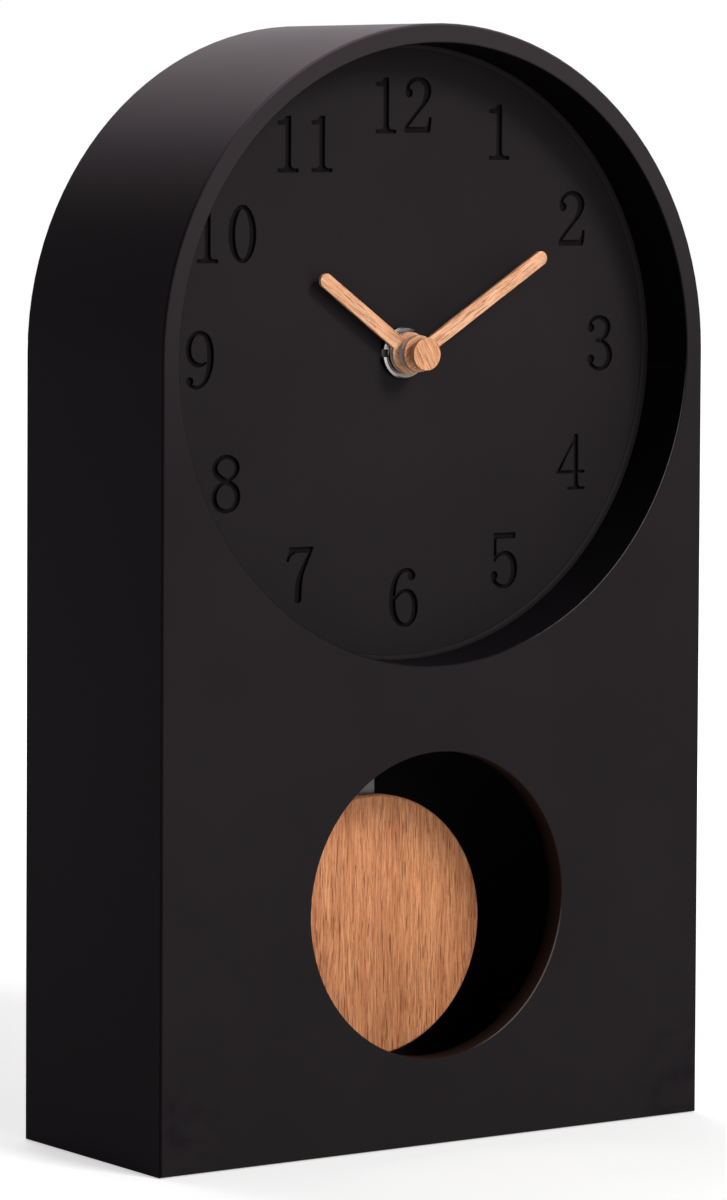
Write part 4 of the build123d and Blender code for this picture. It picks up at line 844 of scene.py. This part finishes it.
def stroke_cutter(name, rows, x, z):
    """The bar that cuts one stroke. Its grid runs along the stroke, and across: down the left wall from the
    mouth, and up the right wall. A point is the stroke's place, plus its half width and the wall's outward
    step along the sideways direction. The two end rings step outwards along the stroke in the same way."""
    line = smooth_line(rows, POINTS_PER_SPAN) if len(rows) > 2 else np.asarray(rows, float)
    along = np.gradient(line[:, :2], axis=0)
    along /= np.linalg.norm(along, axis=1, keepdims=True)
    sideways = np.column_stack([-along[:, 1], along[:, 0]])
    count = len(line)
    ends = np.zeros(count)
    ends[0], ends[-1] = -1, 1
    spread = line[:, 2][:, None] + wall_out[None]
    flat = []
    for side in (1, -1):
        across = line[:, None, :2] + side * spread[:, :, None] * sideways[:, None]
        flat.append(across + (ends[:, None] * wall_out[None])[:, :, None] * along[:, None])
    flat = np.concatenate([flat[0], flat[1][:, ::-1]], axis=1)
    depth = np.broadcast_to(np.concatenate([wall_depth, wall_depth[::-1]]), flat.shape[:2])
    points = np.stack([flat[..., 0] + x, depth + dial_y, flat[..., 1] + z], -1).reshape(-1, 3)
    ring = 2 * LEVELS
    index = np.arange(count * ring).reshape(count, ring)
    around = np.roll(index, -1, axis=1)
    faces = np.stack([index[:-1], around[:-1], around[1:], index[1:]], -1).reshape(-1, 4).tolist()
    for row, step in ((0, 1), (count - 1, -1)):
        left, right = index[row, :LEVELS], index[row, : LEVELS - 1 : -1]
        cap = np.stack([left[:-1], right[:-1], right[1:], left[1:]], -1)
        faces += cap[:, ::step].tolist()
    return new_piece(name, points, faces)


def pit_cutter(name, radius, x, z):
    """The round plug that cuts a pit: the wall's profile, with its outward step added to the radius, is
    turned once round the pit's middle."""
    angle = np.linspace(0, 2 * pi, PIT_SIDES, endpoint=False)[:, None]
    reach = radius + wall_out
    shape = (PIT_SIDES, LEVELS)
    depth = np.broadcast_to(wall_depth + dial_y, shape)
    points = np.stack([x + np.cos(angle) * reach, depth, z + np.sin(angle) * reach], -1).reshape(-1, 3)
    index = np.arange(PIT_SIDES * LEVELS).reshape(shape)
    beside = np.roll(index, -1, axis=0)
    faces = np.stack([index[:, :-1], beside[:, :-1], beside[:, 1:], index[:, 1:]], -1)
    faces = faces.reshape(-1, 4).tolist() + [index[::-1, 0].tolist(), index[:, -1].tolist()]
    return new_piece(name, points, faces)


figure_cutters = bpy.data.collections.new("figure_cutters")
for number, (figure, x, z) in enumerate(PLACED_FIGURES):
    pieces = []
    for n, rows in enumerate(figure["strokes"]):
        pieces.append(stroke_cutter("stroke_%d_%d" % (number, n), rows, x, z))
    for n, (pit_x, pit_z, radius) in enumerate(figure["pits"]):
        pieces.append(pit_cutter("pit_%d_%d" % (number, n), radius, x + pit_x, z + pit_z))
    for piece in pieces:
        bpy.context.scene.collection.objects.unlink(piece)
        figure_cutters.objects.link(piece)

# %% Tools for cutting
JOIN_WITHIN = 0.002
FLAT_WITHIN = radians(0.5)


def outward(mesh):
    """Turns every face of a closed mesh outwards."""
    work = bmesh.new()
    work.from_mesh(mesh)
    bmesh.ops.recalc_face_normals(work, faces=work.faces)
    work.to_mesh(mesh)
    work.free()


def merged_copy(node, name):
    """A copy of a solid's mesh. Its triangles are loose, so they are joined where their corners lie within
    `JOIN_WITHIN` millimetres, and flat faces are made whole."""
    work = bmesh.new()
    work.from_mesh(nodes[node].data)
    bmesh.ops.remove_doubles(work, verts=work.verts, dist=JOIN_WITHIN * MM)
    bmesh.ops.dissolve_limit(work, angle_limit=FLAT_WITHIN, verts=work.verts, edges=work.edges)
    mesh = bpy.data.meshes.new(name)
    work.to_mesh(mesh)
    work.free()
    piece = bpy.data.objects.new(name, mesh)
    bpy.context.scene.collection.objects.link(piece)
    return piece


def carve(piece, cutters):
    """Takes every cutter of a collection from a piece for good, and deletes the cutters."""
    cut = piece.modifiers.new("carve", "BOOLEAN")
    cut.operation = "DIFFERENCE"
    cut.operand_type = "COLLECTION"
    cut.collection = cutters
    cut.solver = "EXACT"
    bpy.context.view_layer.update()
    carved = bpy.data.meshes.new_from_object(piece.evaluated_get(bpy.context.evaluated_depsgraph_get()))
    piece.modifiers.clear()
    piece.data = carved
    carved.materials.clear()
    for cutter in list(cutters.objects):
        bpy.data.meshes.remove(cutter.data)
    bpy.data.collections.remove(cutters)


print("corners join within %.3f mm" % JOIN_WITHIN)

# %% Face the cutters outwards and cut the dial
FLAT = 0.995
for piece in figure_cutters.objects:
    outward(piece.data)
dial = merged_copy("dial_board", "engraved_dial")
carve(dial, figure_cutters)
cut_mesh = dial.data

# Flat faces stay flat, and only the walls with their soft edges are smoothed
normals = np.empty(len(cut_mesh.polygons) * 3, np.float32)
cut_mesh.polygons.foreach_get("normal", normals)
cut_mesh.polygons.foreach_set("use_smooth", np.abs(normals[1::3]) < FLAT)
cut_mesh.materials.append(dial_lacquer)
cut_mesh.update()
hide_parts("dial_board")
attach(dial, "case")
print("engraved dial:", len(cut_mesh.polygons), "faces")

# %% [markdown]
# ## Lacquer in the corner
# The lacquer has run together in the corner between the dial and the recess's wall. This bead rounds that
# corner and catches a soft line of light, which the photograph shows at the right of the dial. A Bevel
# can't make it, because the dial and the wall are two pieces. So a profile is turned round the dial's
# axis: a quarter circle, closed behind by two straight lines. It stands a hair off the wall, so that its
# edge stays a clean circle in front of the wall's facets.

# %% Lacquer bead round the dial
BEAD, BEAD_PROUD = 1.1, 0.08
BEAD_STEPS, BEAD_SIDES = 7, 288


def turned_ring(name, radii, depths, segments, material):
    """A closed profile of radii and depths, turned once round the dial's axis: a point stands its radius
    away from the axis, at the turn's angle, and keeps its depth."""
    angle = np.linspace(0, 2 * pi, segments, endpoint=False)[:, None]
    radii, depths = np.asarray(radii), np.asarray(depths)
    shape = (segments, len(radii))
    points = [np.cos(angle) * radii, np.broadcast_to(depths, shape), np.sin(angle) * radii + dial_height]
    index = np.arange(segments * len(radii)).reshape(shape)
    on, up = np.roll(index, -1, axis=0), np.roll(index, -1, axis=1)
    faces = np.stack([index, on, np.roll(on, -1, axis=1), up], -1).reshape(-1, 4).tolist()
    piece = new_piece(name, np.stack(points, -1).reshape(-1, 3), faces, material)
    outward(piece.data)
    return piece


sweep = np.radians(np.linspace(0, 90, BEAD_STEPS))
bead_radii = recess_radius - BEAD_PROUD - BEAD + BEAD * np.cos(sweep)
bead_depths = dial_y - BEAD + BEAD * np.sin(sweep)
bead_profile = ([*bead_radii, recess_radius], [*bead_depths, dial_y])
bead = turned_ring("lacquer_bead", *bead_profile, BEAD_SIDES, dial_lacquer)
bead.data.polygons.foreach_set("use_smooth", [True] * len(bead.data.polygons))
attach(bead, "case")
print("bead:", len(bead.data.polygons), "faces")

# %% [markdown]
# ## Screw heads
# Each screw has a cross recess. Finished screws could be put in place of the plain ones, but the solids
# are already there, so each is cut as the figures were: two tapered bars are sunk into its head. The
# screws of a group are one solid node, so the script finds the loose bodies in it and cuts each at its
# head.

# %% Find the screws of a group
def loose_bodies(mesh):
    """The points of each loose body of a mesh, as arrays of places in millimetres. Every point starts
    with its own number, and the smaller one of two ends passes along each edge, until none changes."""
    places = np.empty(len(mesh.vertices) * 3, np.float32)
    mesh.vertices.foreach_get("co", places)
    edges = np.empty(len(mesh.edges) * 2, np.int32)
    mesh.edges.foreach_get("vertices", edges)
    first, second = edges.reshape(-1, 2).T
    label, before = np.arange(len(mesh.vertices)), None
    while before is None or (label != before).any():
        before = label.copy()
        np.minimum.at(label, first, before[second])
        np.minimum.at(label, second, before[first])
    places = places.reshape(-1, 3).astype(float) / MM
    return [places[label == number] for number in np.unique(label)]


print("loose bodies in the cut dial:", len(loose_bodies(cut_mesh)))

# %% Cut the cross recesses
# A bar's height, half length and half width, above the head and at its bottom, as shares of its radius
BAR_ENDS = ((0.3, 0.66, 0.17), (-0.55, 0.36, 0.1))
BAR_CORNERS = ((-1, -1), (1, -1), (1, 1), (-1, 1))
BAR_FACES = [(0, 1, 2, 3), (7, 6, 5, 4), (0, 4, 5, 1), (1, 5, 6, 2), (2, 6, 7, 3), (3, 7, 4, 0)]
FIRST_TURN, NEXT_TURN = 0.4, 1.3
HEAD_WITHIN = 0.02


def cross_cutter(name, centre, radius, turn):
    """Two crossed bars that sink into a head at `centre`, which looks back. A corner of a bar is the
    centre, plus the radius times its shares outwards, along the bar and beside it."""
    pieces = []
    for quarter in (0, 1):
        angle = turn + quarter * pi / 2
        along = np.array([cos(angle), 0.0, sin(angle)])
        beside = np.array([-sin(angle), 0.0, cos(angle)])
        out = np.array([0.0, 1.0, 0.0])
        points = []
        for height, length, width in BAR_ENDS:
            for a, b in BAR_CORNERS:
                points.append(centre + radius * (out * height + along * a * length + beside * b * width))
        pieces.append(new_piece("%s_%d" % (name, quarter), points, BAR_FACES))
        outward(pieces[-1].data)
    return pieces


def cut_heads(node, material):
    """Replaces a node of screws by a copy whose heads have cross recesses."""
    screws = merged_copy(node, node + "_driven")
    cutters = bpy.data.collections.new(node + "_cutters")
    for number, body in enumerate(loose_bodies(screws.data)):
        head = body[:, 1].max()
        at_head = body[np.abs(body[:, 1] - head) < HEAD_WITHIN]
        centre = np.array([at_head[:, 0].mean(), head, at_head[:, 2].mean()])
        radius = np.ptp(at_head[:, 0]) / 2
        turn = FIRST_TURN + NEXT_TURN * number
        for piece in cross_cutter("%s_%d" % (node, number), centre, radius, turn):
            bpy.context.scene.collection.objects.unlink(piece)
            cutters.objects.link(piece)
    carve(screws, cutters)
    screws.data.materials.append(material)
    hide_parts(node)
    print(node, "heads cut:", len(screws.data.polygons), "faces")
    return screws


for node, body, slot, material in (
    ("back_screws", "case", "screw_black", black_screw),
    ("cover_screws", "case", "steel", steel),
    ("bracket_screws", "pendulum", "steel", steel),
):
    screws = cut_heads(node, material)
    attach(screws, body)

# %% [markdown]
# ## One finish for each piece
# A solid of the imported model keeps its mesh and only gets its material. The list says what each piece is
# made of, so that a piece without a finish is found at once.

# %% Give every piece its finish
finishes = {
    "front_board": case_lacquer,
    "side_band": case_lacquer,
    "base_board": inside_lacquer,
    "recess_collar": case_lacquer,
    "dial_board": dial_lacquer,
    "screw_blocks": raw_board,
    "back_board": back_lacquer,
    "back_screws": black_screw,
    "dial_washer": dulled_nickel,
    "hand_nut": nut_chrome,
    "threaded_bush": dulled_nickel,
    "movement_gasket": rubber,
    "hour_hand": hour_wood,
    "hour_collet": satin_steel,
    "minute_hand": minute_wood,
    "minute_collet": satin_steel,
    "hand_cap": cap_wood,
    "movement_case": black_plastic,
    "movement_cover": black_plastic,
    "cover_screws": steel,
    "train_bridge": white_plastic,
    "bridge_screws": steel,
    "minute_arbor": white_plastic,
    "minute_wheel": white_plastic,
    "hour_wheel": white_plastic,
    "centre_wheel": white_plastic,
    "third_wheel": white_plastic,
    "second_wheel": white_plastic,
    "fifth_wheel": white_plastic,
    "rotor": white_plastic,
    "rotor_magnet": magnet_grey,
    "stator": motor_iron,
    "motor_coil": copper,
    "coil_bobbin": white_plastic,
    "circuit_board": green_board,
    "clock_chip": chip_black,
    "quartz_crystal": steel,
    "battery_cell": cell_jacket,
    "battery_contacts": steel,
    "setting_knob": black_plastic,
    "driver_pin": steel,
    "pendulum_driver": black_plastic,
    "driver_magnet": magnet_grey,
    "drive_coil": copper,
    "coil_holder": black_plastic,
    "pendulum_rod": rod_metal,
    "pendulum_bob": bob_wood,
    "bob_bracket": rod_metal,
    "bracket_screws": steel,
}
for name, material in finishes.items():
    mesh = nodes[name].data
    mesh.materials.clear()
    mesh.materials.append(material)
print("pieces without a finish:", sorted(set(nodes) - set(finishes)))

# %% [markdown]
# ## Closing
# Both boxes, of the solid model and of the visual one, are kept side by side, and the visual one's size is
# printed.

# %% Gather the sizes
visual_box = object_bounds()
sizes = {
    "cad": [list(map(float, corner)) for corner in cad_box],
    "visual": [list(map(float, corner)) for corner in visual_box],
}
print("size in metres:", [round(high - low, 4) for low, high in zip(*sizes["visual"])])
